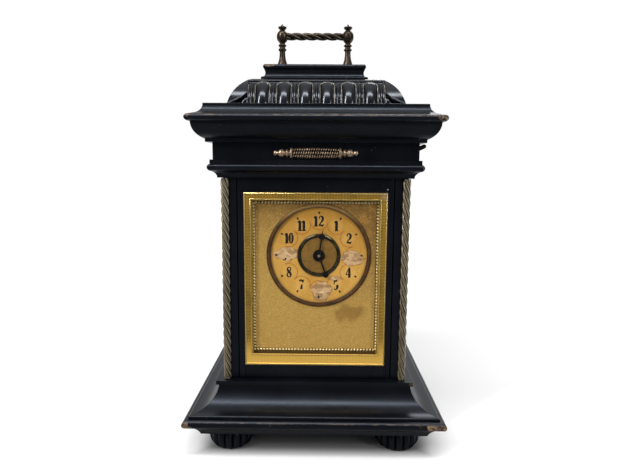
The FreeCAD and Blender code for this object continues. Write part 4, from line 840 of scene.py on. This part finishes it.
dome = gathered("gadrooned_top", [front_back, left_right], gadroon_black)
with reshaping(dome.data) as shape:
    bmesh.ops.remove_doubles(shape, verts=shape.verts, dist=0.00004)
    walls = [f for f in shape.faces if max(abs(on_mitre(v.co)) for v in f.verts) < 0.00001]
    bmesh.ops.delete(shape, geom=walls, context="FACES")
    rims = [e for e in shape.edges if len(e.link_faces) == 1]
    capped = bmesh.ops.holes_fill(shape, edges=rims, sides=0)
    bmesh.ops.triangulate(shape, faces=[f for f in capped["faces"] if len(f.verts) > 4])
    bmesh.ops.recalc_face_normals(shape, faces=shape.faces)
    print("edges left open:", sum(1 for e in shape.edges if len(e.link_faces) != 2))
piece(smooth(dome, 60.0), "case", "ebonised_wood", "gadrooned_dome")

# %% [markdown]
# ## Pressed brass sash
# The door's glass is held by a thin sash of pressed brass: a round bead outside, a band
# with fine cross ribs, and a second bead inside. Such a frame is one strip bent round
# four corners, so its cross-section is swept round a rectangle and mitred. The bottom
# rail is wider than the others, as it is on the clock.

# %% The sash's section and sweep
def frame_sweep(name, section, box, bottom_extra=0.0):
    """A closed mitred frame from (inset, y) pairs round a box's front outline."""
    left, low, far_right, high = (n / MM for n in (box[0].x, box[0].z, box[1].x, box[1].z))
    corners = []
    for q, y in section:
        bottom = low + (q + bottom_extra * min(max((q - 1.6) / 3.0, 0.0), 1.0))
        for px, pz in ((left + q, bottom), (far_right - q, bottom), (far_right - q, high - q),
                       (left + q, high - q)):
            corners.append((px * MM, y * MM, pz * MM))
    faces = []
    for i in range(len(section)):
        j = (i + 1) % len(section)
        for k in range(4):
            m = (k + 1) % 4
            faces.append((i * 4 + k, i * 4 + m, j * 4 + m, j * 4 + k))
    return smooth(settle(mesh_object(name, corners, faces), 0.000002), 50.0)


SASH_SECTION = [(0.0, -67.1), (0.0, -68.0), (0.35, -68.2), (0.5, -68.6), (0.85, -68.88),
                (1.2, -68.85), (1.5, -68.5), (1.7, -68.2), (2.1, -68.2), (3.2, -68.34),
                (4.4, -68.3), (4.9, -68.1), (5.1, -68.15), (5.25, -68.5), (5.55, -68.78),
                (5.9, -68.75), (6.15, -68.45), (6.25, -67.9), (6.1, -67.1)]
sash = frame_sweep("pressed_sash", SASH_SECTION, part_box("door_sash"), 3.6)


def sash_finish():
    """Pressed brass: bright on the beads, granular and cross-ribbed between them, with a painted
    highlight on the wide bottom band.
    """
    made, b, place = new_finish("ribbed_sash_brass")
    x, y, z = b.parts(place)
    fine = b.noise(place, 950.0, 3.0, 0.6)
    cloud = b.noise(place, 60.0, 4.0, 0.6)
    run = b.between((x.size() - 0.0529).above(0.0), x, z)
    ribs = (run * (math.tau / 0.00125) + (fine - 0.5) * 1.5).sine() * 0.5 + 0.5
    bead = ((y + 0.0685) * -1.0).ramp(0.00010, 0.00028)
    flat = 1.0 - bead
    tone = b.blend((ribs * 0.55 + fine * 0.6).ramp(0.25, 0.85), (0.120, 0.066, 0.006),
                   (0.46, 0.265, 0.030))
    bright = b.blend(fine.ramp(0.3, 0.7), (0.62, 0.46, 0.13), (0.95, 0.78, 0.38))
    corner = distance(x - 0.0573, z - 0.2165).ramp(0.0052, 0.0022)
    # Painted highlight: the wide bottom band is lightened where light from above falls on it.
    lit = z.ramp(0.100, 0.074) * flat * (0.70 + ribs * 0.2)
    colour = b.coats(tone, (cloud.ramp(0.42, 0.68) * 0.45, (0.105, 0.060, 0.008)),
                     (bead, bright), (lit, (0.90, 0.54, 0.105)),
                     (corner * 0.6, (0.42, 0.30, 0.17)))
    dents = b.noise(place, 520.0, 3.0, 0.6) * (corner * 2.5 + 0.6)
    close_finish(b, colour, b.between(bead, 0.40, 0.22),
                 ribs * flat * 0.8 + fine * flat * 0.5 + dents * 0.4, 0.00012, 0.6,
                 {"Metallic": b.between(bead, 0.55, 0.85)})
    return made


give(sash, sash_finish())
piece(sash, "front_door", "pressed_brass", "door_sash")

# %% Window glass
glass, b, place = new_finish("old_window_glass")
close_finish(b, (0.02, 0.022, 0.02, 1.0), 0.06, b.noise(place, 22.0, 2.0, 0.5), 0.0003, 0.15,
             {"Alpha": 0.04})
glass.surface_render_method = "BLENDED"
give(solids["door_glass"], glass)
print("glass lets through", 1.0 - 0.04, "of what is behind it")

# %% [markdown]
# ## The mask and its pearl line
# Behind the glass a sheet of brass masks the dial. It is finely grained, darker toward the
# top right, and edged with a line of small slanting pearls set in painted shade. The pearls
# are one little bead, repeated along a rectangle by Geometry Nodes.

# %% The pearl line
pearls = Jig("pearl_line", "Width, Height, Bead, Lean", "Count")
loop = pearls.add("GeometryNodeCurvePrimitiveQuadrilateral", {"mode": "RECTANGLE"},
                  {"Width": pearls["Width"], "Height": pearls["Height"]})
dots = pearls.add("GeometryNodeCurveToPoints", {"mode": "COUNT"},
                  {"Curve": loop, "Count": pearls["Count"]})
bead = pearls.add("GeometryNodeMeshUVSphere", None,
                  {"Segments": 10, "Rings": 6, "Radius": pearls["Bead"]})
tangent_x, tangent_y, _ = pearls.parts(pearls.other(dots, "Tangent"))
lean = pearls.turn_of(tangent_y, tangent_x) + pearls["Lean"]
pearls.end(pearls.add("GeometryNodeInstanceOnPoints", None,
                      {"Points": dots, "Instance": bead, "Rotation": pearls.vector(z=lean),
                       "Scale": (1.05, 0.72, 0.8)}))

PEARL_LEFT, PEARL_RIGHT, PEARL_LOW, PEARL_HIGH = -0.0514, 0.0520, 0.0839, 0.2103
face_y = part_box("mask_plate")[0].y
centre = ((PEARL_LEFT + PEARL_RIGHT) / 2, face_y, (PEARL_LOW + PEARL_HIGH) / 2)
pearl_line = pearls.make("pearl_line",
                         {"Width": PEARL_RIGHT - PEARL_LEFT, "Height": PEARL_HIGH - PEARL_LOW,
                          "Count": 172, "Bead": 0.00112, "Lean": 0.45, "Finish": rope_brass},
                         Matrix.Translation(centre) @ FACE_ON)
piece(smooth(pearl_line, 80.0), "case", "grained_brass")

# %% The mask's grain and stains
DIAL_X, DIAL_Z = 0.0030, (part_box("dial_bezel")[0].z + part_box("dial_bezel")[1].z) / 2


def mask_finish():
    """Grained brass: pale at the lower left, brown at the upper right, with an amber stain and
    painted shade round the pearl line.
    """
    made, b, place = new_finish("grained_mask_brass")
    x, _, z = b.parts(place)
    grain = b.noise(place, 1500.0, 2.0, 0.6)
    cloud = b.noise(place, 24.0, 5.0, 0.62)
    fine = b.noise(place, 130.0, 4.0, 0.6)
    sparkle = b.noise(place, 1100.0, 1.0, 0.5, shift=(3.0, 8.0, 1.0)).ramp(0.58, 0.70)
    rise = (z - 0.078) / 0.136 + (x * 2.2) + (cloud - 0.5) * 0.7
    base = b.blend(rise.ramp(0.30, 1.05), (0.600, 0.370, 0.082), (0.235, 0.118, 0.016))
    mottled = fine.ramp(0.46, 0.66) * cloud.ramp(0.40, 0.60) * 0.40
    gap = (((x - 0.0285) ** 2.0) * 0.6 + ((z - 0.1165) ** 2.0) * 1.4).root()
    stain = (gap + (fine - 0.5) * 0.022 + (cloud - 0.5) * 0.02).ramp(0.0125, 0.004)
    # Painted shade: a dark band under and round the pearl line, in the recess behind the sash.
    painted_recess_shade = outside(x, z, 0.0506, 0.0622, -0.1471).ramp(-0.0006, 0.0004)
    lip = outside(x, z, 0.0524, 0.0660, -0.1463).ramp(0.0, 0.0008)
    colour = b.coats(base, (grain.ramp(0.35, 0.68) * 0.55, (0.16, 0.088, 0.020)),
                     (mottled, (0.50, 0.235, 0.045)), (sparkle * 0.5, (0.70, 0.46, 0.15)),
                     (stain * 0.62, (0.22, 0.105, 0.014)), (painted_recess_shade * 0.85, (0.060, 0.036, 0.008)),
                     (lip * 0.8, (0.46, 0.31, 0.07)))
    close_finish(b, colour, 0.42 + grain * 0.12, grain + fine * 0.3, 0.00010, 0.7,
                 {"Metallic": 0.40})
    return made


give(solids["mask_plate"], mask_finish())
BORDER = [(0.0, face_y / MM), (0.0, -65.35), (0.35, -65.4), (0.9, -65.0), (1.6, -64.1),
          (2.2, -63.45), (2.5, face_y / MM)]
border = frame_sweep("raised_mask_border", BORDER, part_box("mask_plate"))
give(border, metal("pressed_border_brass", (0.50, 0.33, 0.060), (0.20, 0.12, 0.018),
                   0.34, 0.6, 150.0, 0.6, bump=0.5))
piece(border, "case", "grained_brass")

# %% [markdown]
# ## The bezel and the centre ring
# A brown lacquered bezel holds the dial, with a painted highlight along its top and painted
# shade on its flanks, and a dark ring with two painted glints on its upper edge frames the
# alarm disc. Both are turned, so both are a profile swept round the axis.

# %% Turned rings
def ring(name, profile, finish, body, slot_name, steps, *nodes):
    """A turned ring about the dial's axis, from closed (radius, y) pairs in millimetres."""
    corners, faces = [], []
    for k in range(steps):
        turn = math.tau * k / steps
        for radius, y in profile:
            corners.append((DIAL_X + radius * MM * math.sin(turn), y * MM,
                            DIAL_Z + radius * MM * math.cos(turn)))
    count = len(profile)
    for k in range(steps):
        m = (k + 1) % steps
        for i in range(count):
            j = (i + 1) % count
            faces.append((k * count + i, k * count + j, m * count + j, m * count + i))
    made = settle(mesh_object(name, corners, faces), 0.000001)
    give(made, finish)
    piece(smooth(made, 50.0), body, slot_name, *nodes)


def from_dial(b, place):
    """Right and up from the dial's centre, and the distance from it, in millimetres."""
    x, _, z = b.parts(place)
    across, upward = (x - DIAL_X) * 1000.0, (z - DIAL_Z) * 1000.0
    return across, upward, distance(across, upward)


def bezel_finish():
    """Brown lacquer over brass, with a painted highlight along the top of the ring and painted
    shade on both flanks of its rounded section.
    """
    made, b, place = new_finish("brown_bezel_lacquer")
    _, upward, radius = from_dial(b, place)
    cloud = b.noise(place, 110.0, 4.0, 0.6)
    fine = b.noise(place, 420.0, 3.0, 0.6)
    # Painted highlight: the upper part of the ring is lightened.
    painted_highlight = upward.ramp(22.0, 41.0) * (0.55 + cloud * 0.7)
    lacquer = b.blend(cloud.ramp(0.35, 0.70), (0.095, 0.040, 0.008), (0.040, 0.017, 0.004))
    colour = b.coats(lacquer, (painted_highlight.at_most(1.0), (0.24, 0.135, 0.040)),
                     (fine.ramp(0.58, 0.70) * 0.35, (0.22, 0.14, 0.05)),
                     # Painted shade: darker on both flanks, away from the crest of the rounded
                     # section.
                     ((radius - 42.2).size().ramp(0.9, 1.6) * 0.85, (0.022, 0.011, 0.004)))
    close_finish(b, colour, 0.33 + cloud * 0.15, cloud + fine * 0.4, 0.0001, 0.35,
                 {"Metallic": 0.3, "Specular IOR Level": 0.3})
    return made


ring("rounded_bezel", [(40.3, -63.2), (40.3, -63.6), (40.9, -63.9), (41.6, -64.3), (42.4, -64.5),
                       (43.2, -64.35), (43.8, -63.9), (44.0, -63.2)],
     bezel_finish(), "case", "bezel_brown", 160, "dial_bezel")


def ring_finish():
    """Dark brass, with painted glints at two places of its upper edge."""
    made, b, place = new_finish("dark_ring_brass")
    across, upward, radius = from_dial(b, place)
    cloud = b.noise(place, 130.0, 4.0, 0.6)
    dark = b.blend(cloud.ramp(0.38, 0.66), (0.070, 0.052, 0.020), (0.020, 0.017, 0.009))
    # Painted glints: two bright spots near the upper edge of the ring.
    painted_glint = ((radius - 17.35).size().ramp(0.60, 0.15)
                * (across.size() - 6.8).size().ramp(4.6, 1.0) * upward.ramp(8.0, 14.0))
    colour = b.blend(painted_glint * (0.5 + cloud * 0.6).at_most(1.0), dark, (0.98, 0.82, 0.46))
    close_finish(b, colour, 0.28 + cloud * 0.1, cloud, 0.0001, 0.3, {"Metallic": 0.7})
    return made


ring("centre_ring", [(15.0, -61.9), (15.0, -62.3), (15.6, -62.35), (16.2, -62.25), (17.0, -62.35),
                     (17.6, -62.6), (18.0, -62.5), (18.2, -62.2), (18.2, -61.9)],
     ring_finish(), "case", "disc_brass", 112)
give(solids["alarm_disc"], centre_brass)

# %% [markdown]
# ## Printed paper
# The dial is a printed paper ring, golden with age, paler round each figure, and with painted
# shade toward the top and along its outer edge.
# Thin orange scallops curve under every hour, and three worn places have lost their
# print. All of it is worked out from the distance and the angle about the dial's centre,
# so that one recipe serves all twelve hours.

# %% The paper's recipe
# Where the paper is worn: x, z, half width and half height about the centre, in mm.
WORN = ((28.4, -2.4, 10.2, 7.2), (2.2, -30.4, 8.2, 8.8), (-27.6, 0.6, 9.6, 5.4),
        (13.5, -19.4, 5.5, 2.0))
HOUR_STEP, SCALLOP_CENTRE = math.tau / 12, 29.0


def dial_paper():
    made, b, place = new_finish("aged_dial_paper")
    across, upward, radius = from_dial(b, place)
    angle = b.turn_of(across, upward)
    hours = angle / HOUR_STEP
    local = angle - hours.sum_of("ROUND", hours) * HOUR_STEP
    side_way, out_way = radius * local.sine(), radius * local.cosine()
    cloud = b.noise(place, 55.0, 5.0, 0.62)
    fine = b.noise(place, 420.0, 4.0, 0.62)
    fibre = b.noise(place, 1600.0, 2.0, 0.6)
    gap = distance(side_way, out_way - SCALLOP_CENTRE)
    scallop = (gap - 7.3).size().ramp(0.50, 0.14) * out_way.ramp(29.5, 27.0)
    foxing = b.cells(place, 240.0).ramp(0.14, 0.06) * b.noise(place, 90.0, 2.0).ramp(0.52, 0.60)
    golden = b.blend(cloud.ramp(0.35, 0.70), (0.50, 0.285, 0.056), (0.40, 0.205, 0.034))
    # Painted shade: the paper is darkened toward the top, and along its outer edge under the
    # bezel.
    colour = b.coats(golden, (upward.ramp(-8.0, 36.0) * 0.80, (0.30, 0.142, 0.018)),
                     (fibre.ramp(0.45, 0.75) * 0.14, (0.30, 0.16, 0.05)),
                     (radius.ramp(38.6, 40.6) * 0.35, (0.25, 0.125, 0.035)),
                     ((scallop * (0.25 + fine * 1.1)).at_most(0.9), (0.24, 0.070, 0.014)),
                     (gap.ramp(6.6, 3.2) * 0.22, (0.60, 0.40, 0.14)),
                     (foxing * 0.7, (0.17, 0.075, 0.022)))
    torn = b.noise(place, 190.0, 3.0, 0.6)
    worn = 0.0
    for px, pz, wide, tall in WORN:
        near = (((across - px) / wide) ** 2.0 + ((upward - pz) / tall) ** 2.0).root()
        worn = (near + (cloud - 0.5) * 1.3 + (torn - 0.5) * 1.1).ramp(1.03, 0.93) + worn
    worn = worn.at_most(1.0)
    folds = (1.0, 1.0, 1.8)
    crease = b.cells(place, 190.0, "DISTANCE_TO_EDGE", "Distance", folds).ramp(0.075, 0.0)
    facet, _, _ = b.parts(b.cells(place, 190.0, "F1", "Color", folds))
    crumple = b.noise(place, 110.0, 4.0, 0.6)
    # Painted shading of the crumpled paper: each cell of the bare places gets its own tone, and
    # the creases get painted highlights in some places and painted shade in others.
    bare = b.blend((facet * 0.6 + crumple * 0.4).ramp(0.2, 0.75), (0.265, 0.155, 0.066),
                   (0.46, 0.295, 0.145))
    bare = b.coats(bare, (crease * crumple.ramp(0.45, 0.6) * 0.8, (0.66, 0.50, 0.30)),
                   (crease * crumple.ramp(0.5, 0.35) * 0.5, (0.20, 0.105, 0.045)))
    colour = b.coats(colour, (worn, bare),
                     (worn * (1.0 - worn) * 4.0 * 0.75, (0.22, 0.095, 0.028)),
                     (radius.ramp(19.6, 18.0) * 0.5, (0.20, 0.11, 0.03)))
    relief = worn * (crumple * 1.2 + facet * 0.8 + crease * 0.5)
    close_finish(b, colour, 0.60 - worn * 0.12, fibre * 0.15 + fine * 0.12 + relief, 0.0005, 0.7,
                 {"Specular IOR Level": 0.12})
    return made


give(solids["dial_plate"], dial_paper())
print("paper printed, with", len(WORN), "worn places")

# %% [markdown]
# ## Printed numbers
# The numbers are upright and bold, with thick stems and hair-thin joins. A pen stroke is
# a line of points, each with its own thickness, so every figure is a few such strokes,
# smoothed and given the thickness of ink. No font is needed.

# %% Pen strokes for the figures
# Each point is x and y in hundredths of the figure's width and height, and half the pen's
# width in thousandths. A comma parts the points and a slash the strokes.
FIGURES = {
    "0": "50 100 30, 30 90 70, 20 66 115, 19 50 125, 20 34 115, 30 10 70, 50 0 30, "
         "70 10 70, 80 34 115, 81 50 125, 80 66 115, 70 90 70, 50 100 30",
    "1": "52 0 150, 52 50 150, 52 97 130 / 52 98 50, 34 90 50, 18 78 45 / 22 2 30, 82 2 30",
    "2": "22 72 100, 28 73 100 / 16 74 40, 26 92 40, 48 98 50, 70 88 110, 76 72 130, "
         "66 52 100, 42 32 50, 18 10 40 / 14 6 50, 32 12 80, 56 7 100, 74 6 70, 86 22 30",
    "4": "64 0 120, 64 50 120, 64 98 100 / 62 98 35, 36 64 30, 10 32 30 / 8 29 30, "
         "92 29 30 / 42 2 25, 86 2 25",
    "5": "26 94 35, 25 52 30 / 26 90 70, 46 86 90, 66 90 70, 78 99 30 / 26 52 30, 44 63 40, "
         "64 58 90, 76 36 130, 68 12 90, 46 1 40, 24 8 40 / 22 18 90, 27 18 90",
    "7": "16 78 30, 24 92 70, 42 92 90, 60 86 80, 80 96 40 / 82 97 35, 66 66 45, 52 38 90, "
         "47 14 130, 47 2 130",
    "8": "50 100 35, 30 90 60, 26 74 100, 40 60 130, 60 45 130, 77 26 110, 70 8 60, "
         "50 0 35, 28 8 60, 20 26 70, 34 46 35, 56 58 30, 74 76 50, 68 93 45, 50 100 35",
    "9": "52 100 35, 30 90 90, 23 70 120, 32 48 80, 50 42 35, 70 54 50, 76 72 80, 68 94 60, "
         "52 100 35 / 76 72 90, 78 46 130, 70 18 90, 50 2 40, 28 6 40 / 26 15 85, 31 15 85",
}
HOURS = {12: "12", 1: "1", 2: "2", 4: "4", 5: "5", 7: "7", 8: "8", 9: "9", 10: "10", 11: "11"}
TALL, WIDE, HOUR_RADIUS, INK_BACK, INK_FRONT = 8.6, 5.4, 28.95, -61.97, -62.05
ONE_SHARE, TEN_SHARE = 0.62, 0.74
# Where the print is rubbed away, as in WORN; two of these cut the 7 and the 5 in half.
RUBBED_INK = (WORN[0], WORN[1], (-27.6, 1.9, 9.6, 4.4), WORN[3], (-14.3, -24.3, 3.0, 0.75),
              (14.6, -24.6, 3.0, 0.85))


def pen(text):
    """The strokes of a figure as lists of (x, y, half thickness)."""
    return [[(int(x) / 100, int(y) / 100, int(half) / 1000)
             for x, y, half in (point.split() for point in line.split(", "))]
            for line in text.split(" / ")]


def stroke(points):
    """A pen line, smoothed."""
    steps = 6 if len(points) > 2 else 1
    out = [bend(neighbours(points, i), k / steps)
           for i in range(len(points) - 1) for k in range(steps)]
    return out + [list(points[-1])]


def rubbed_away(corners, face):
    mx = sum(corners[i][0] for i in face) / len(face)
    mz = sum(corners[i][2] for i in face) / len(face)
    return any(((mx - px) / (wide * 0.97)) ** 2 + ((mz - pz) / (tall * 0.97)) ** 2 < 1.0
               for px, pz, wide, tall in RUBBED_INK)


def lay(corners, faces, line, left, base, wide):
    """Adds one stroke as a thin closed strip of ink."""
    start = len(corners)
    spots = [(left + p[0] * wide, base + p[1] * TALL, p[2] * WIDE * 1.16 + 0.22) for p in line]
    for i, (px, pz, half) in enumerate(spots):
        ax, az, _ = spots[max(i - 1, 0)]
        bx, bz, _ = spots[min(i + 1, len(spots) - 1)]
        run = math.hypot(bx - ax, bz - az) or 1.0
        nx, nz = -(bz - az) / run * half, (bx - ax) / run * half
        for y in (INK_FRONT, INK_BACK):
            corners += [(px + nx, y, pz + nz), (px - nx, y, pz - nz)]
    for i in range(len(spots) - 1):
        a, c = start + i * 4, start + i * 4 + 4
        faces += [(a, a + 1, c + 1, c), (a + 2, c + 2, c + 3, a + 3), (a, c, c + 2, a + 2),
                  (a + 1, a + 3, c + 3, c + 1)]
    a, c = start, start + (len(spots) - 1) * 4
    faces += [(a, a + 2, a + 3, a + 1), (c, c + 1, c + 3, c + 2)]


def ink_figures():
    corners, faces = [], []
    for hour, text in HOURS.items():
        turn = math.tau * hour / 12
        cx, cz = HOUR_RADIUS * math.sin(turn), HOUR_RADIUS * math.cos(turn)
        full = TEN_SHARE if text == "10" else 1.0
        widths = [WIDE * (ONE_SHARE if c == "1" else full) for c in text]
        left = cx - sum(widths) / 2
        for digit, wide in zip(text, widths):
            span = WIDE * (full if digit == "0" else 1.0)
            for line in pen(FIGURES[digit]):
                lay(corners, faces, stroke(line), left + wide / 2 - span / 2, cz - TALL / 2, span)
            left += wide
    kept = [face for face in faces if not rubbed_away(corners, face)]
    placed = [(DIAL_X + x * MM, y * MM, DIAL_Z + z * MM) for x, y, z in corners]
    made = mesh_object("printed_figures", placed, kept)
    with reshaping(made.data) as shape:
        loose = [v for v in shape.verts if not v.link_faces]
        bmesh.ops.delete(shape, geom=loose, context="VERTS")
    return made


ink, b, place = new_finish("printing_ink")
fine = b.noise(place, 700.0, 4.0, 0.6)
colour = b.blend(fine.ramp(0.45, 0.75), (0.006, 0.005, 0.005), (0.028, 0.017, 0.009))
close_finish(b, colour, 0.5 + fine * 0.1, fine, 0.00005, 0.3, {"Specular IOR Level": 0.2})
figures = ink_figures()
give(figures, ink)
piece(figures, "case", None)

# %% [markdown]
# ## Minute marks
# Twelve drops and a ring of faint dots surround the figures. They repeat round a circle,
# so one drop and one dot are placed on the points of a circle and turned to face out.

# %% Marks round a circle
marks = Jig("marks_round", "Radius, Long, Wide", "Count")
circle = marks.add("GeometryNodeMeshCircle", {"fill_type": "NONE"},
                   {"Vertices": marks["Count"], "Radius": marks["Radius"]})
tablet = marks.add("GeometryNodeMeshCylinder", {"fill_type": "NGON"},
                   {"Vertices": 10, "Radius": 1.0, "Depth": 1.0})
px, py, pz = marks.spot()
taper = 1.0 - px * 0.45
drop = marks.put(tablet, marks.vector(px * marks["Long"], py * taper * marks["Wide"],
                                      pz * 0.00007))
sx, sy, _ = marks.spot()
marks.end(marks.add("GeometryNodeInstanceOnPoints", None,
                    {"Points": circle, "Instance": drop,
                     "Rotation": marks.vector(z=marks.turn_of(sy, sx) + math.pi)}))
faint = metal("faded_ink", (0.17, 0.085, 0.030), (0.10, 0.05, 0.02), 0.6, 0.5, 200.0, 0.0)
on_paper = Matrix.Translation((DIAL_X, INK_BACK * MM - 0.00003, DIAL_Z)) @ FACE_ON
for name, radius, count, long, wide, finish in (
        ("hour_drops", 0.0357, 12, 0.00125, 0.00078, ink),
        ("minute_dots", 0.0355, 60, 0.00028, 0.00028, faint)):
    piece(marks.make(name, {"Radius": radius, "Count": count, "Long": long, "Wide": wide,
                            "Finish": finish}, on_paper), "case", None)

# %% Hands, hub and pin
for hand in ("minute_hand", "hour_hand"):
    give(solids[hand], blue_steel)
hub_dark = metal("dark_hub_steel", (0.026, 0.032, 0.024), (0.012, 0.013, 0.010),
                 0.30, 0.5, 150.0, 0.8)
ring("hub_collar", [(1.7, -63.2), (1.7, -63.45), (4.4, -63.5), (5.0, -63.4), (5.0, -63.2)],
     hub_dark, "hour", "blued_steel", 64)
front_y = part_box("centre_arbor")[0].y / MM
bright_pin = metal("bright_pin_steel", (0.75, 0.75, 0.72), (0.5, 0.5, 0.47), 0.2, 0.3, 150.0)
piece(lathe("centre_pin", [(0.0, 0.0), (1.25, 0.0), (1.25, 0.0), (1.2, 0.5), (0.9, 0.85),
                           (0.5, 1.0), (0.0, 1.05)], 24, bright_pin,
            Matrix.Translation((DIAL_X, (front_y + 0.95) * MM, DIAL_Z)) @ FACE_ON),
      "centre", "steel")

# %% A pin in the door's top rail
pin_place = Matrix.Translation((0.05867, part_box("door_rail_top")[0].y, 0.22145)) @ FACE_ON
piece(lathe("rail_pin", [(0.0, 0.0), (0.9, 0.0), (0.9, 0.0), (0.85, 0.25), (0.6, 0.5),
                         (0.3, 0.6), (0.0, 0.63)], 20, grey_steel, pin_place),
      "front_door", "steel")

# %% [markdown]
# ## The frieze ornament
# The little brass ornament is a barrel woven with rows of slanting beads, between
# collars, balls and pins. The weave is two waves multiplied, one round the barrel and one
# along it, and the second leans as it goes round.

# %% The woven barrel
weave = Jig("woven_barrel", "Length, Middle, End, Rows, Beads, Lean, Depth")
u, s, angle = weave.along_and_round()
girth = weave["End"] + (weave["Middle"] - weave["End"]) * (1.0 - (u * 2.0) ** 2.0)
rows = (angle * weave["Rows"] * 0.5).sine().size() ** 0.9
beads = s * weave["Beads"] + angle * weave["Lean"] / math.tau
swell = rows * (beads * math.pi).sine().size() ** 1.2
reach = girth * (1.0 - weave["Depth"] * (1.0 - swell))
reach = reach * (s * 400.0).at_most(1.0) * ((1.0 - s) * 400.0).at_most(1.0)
sheet = weave.store(weave.grid(241, 97), "groove", 1.0 - swell)
weave.end(weave.put(sheet, weave.vector(u * weave["Length"], reach * angle.cosine(),
                                        reach * angle.sine())))
low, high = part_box("frieze_ornament")
middle = Matrix.Translation(((low.x + high.x) / 2, high.y, (low.z + high.z) / 2))
END_TURNING = [(0.0, 18.6), (4.3, 18.6), (4.3, 18.6), (4.4, 19.4), (4.1, 20.2), (2.2, 20.6),
               (2.2, 20.6), (2.1, 21.8), (2.9, 22.4), (3.0, 23.0), (2.8, 23.6), (1.6, 24.2),
               (1.6, 24.2), (1.9, 24.9), (2.8, 26.0), (3.1, 27.4), (2.7, 28.9), (1.7, 29.9),
               (1.3, 30.3), (1.3, 30.3), (1.6, 31.0), (2.0, 31.9), (1.8, 32.9), (1.0, 33.6),
               (0.0, 33.9)]
castings = [weave.make("woven_barrel", {"Length": 0.0380, "Middle": 0.0047, "End": 0.0038,
                                        "Rows": 7.0, "Beads": 20.0, "Lean": 3.0, "Depth": 0.30,
                                        "Finish": ornament_brass}, middle)]
for turn in (QUARTER, -QUARTER):
    castings.append(lathe("ornament_end", eased_profile(END_TURNING, 3), 28, ornament_brass,
                          middle @ Matrix.Rotation(turn, 4, "Y")))
ornament = gathered("cast_ornament", castings, ornament_brass)
piece(smooth(ornament, 60.0), "case", "aged_brass", "frieze_ornament")

# %% [markdown]
# ## Behind the dial
# The movement, the bell and its hammer are seen only through the back door, but they are
# finished too: lacquered brass plates and wheels, plain steel pins, and bell metal.

# %% Finishes for the works
def bare_wood():
    made, b, place = new_finish("bare_inner_wood")
    grain = b.noise(place, 260.0, 5.0, 0.65, (1.0, 1.0, 0.05))
    cloud = b.noise(place, 20.0, 3.0)
    colour = b.blend(grain.ramp(0.38, 0.68), (0.20, 0.115, 0.055), (0.11, 0.058, 0.026))
    colour = b.blend(cloud.ramp(0.45, 0.7) * 0.4, colour, (0.26, 0.16, 0.085))
    close_finish(b, colour, 0.6 + grain * 0.12, grain, 0.0002, 0.4)
    return made


WORKS = {
    movement_brass: "movement_front_plate movement_back_plate movement_pillar_left "
                    "movement_pillar_right movement_pillar_top mainspring_barrel minute_wheel "
                    "hour_wheel escapement_platform balance_wheel setting_knob centre_arbor",
    grey_steel: "alarm_hammer winding_key front_pivot_lower front_pivot_upper",
    bell_metal: "alarm_bell", lever_steel: "alarm_stop_lever", bare_wood(): "dial_board"}
for finish, names in WORKS.items():
    for name in names.split():
        give(solids[name], finish)
    print(finish.name, "on", len(names.split()), "solids")
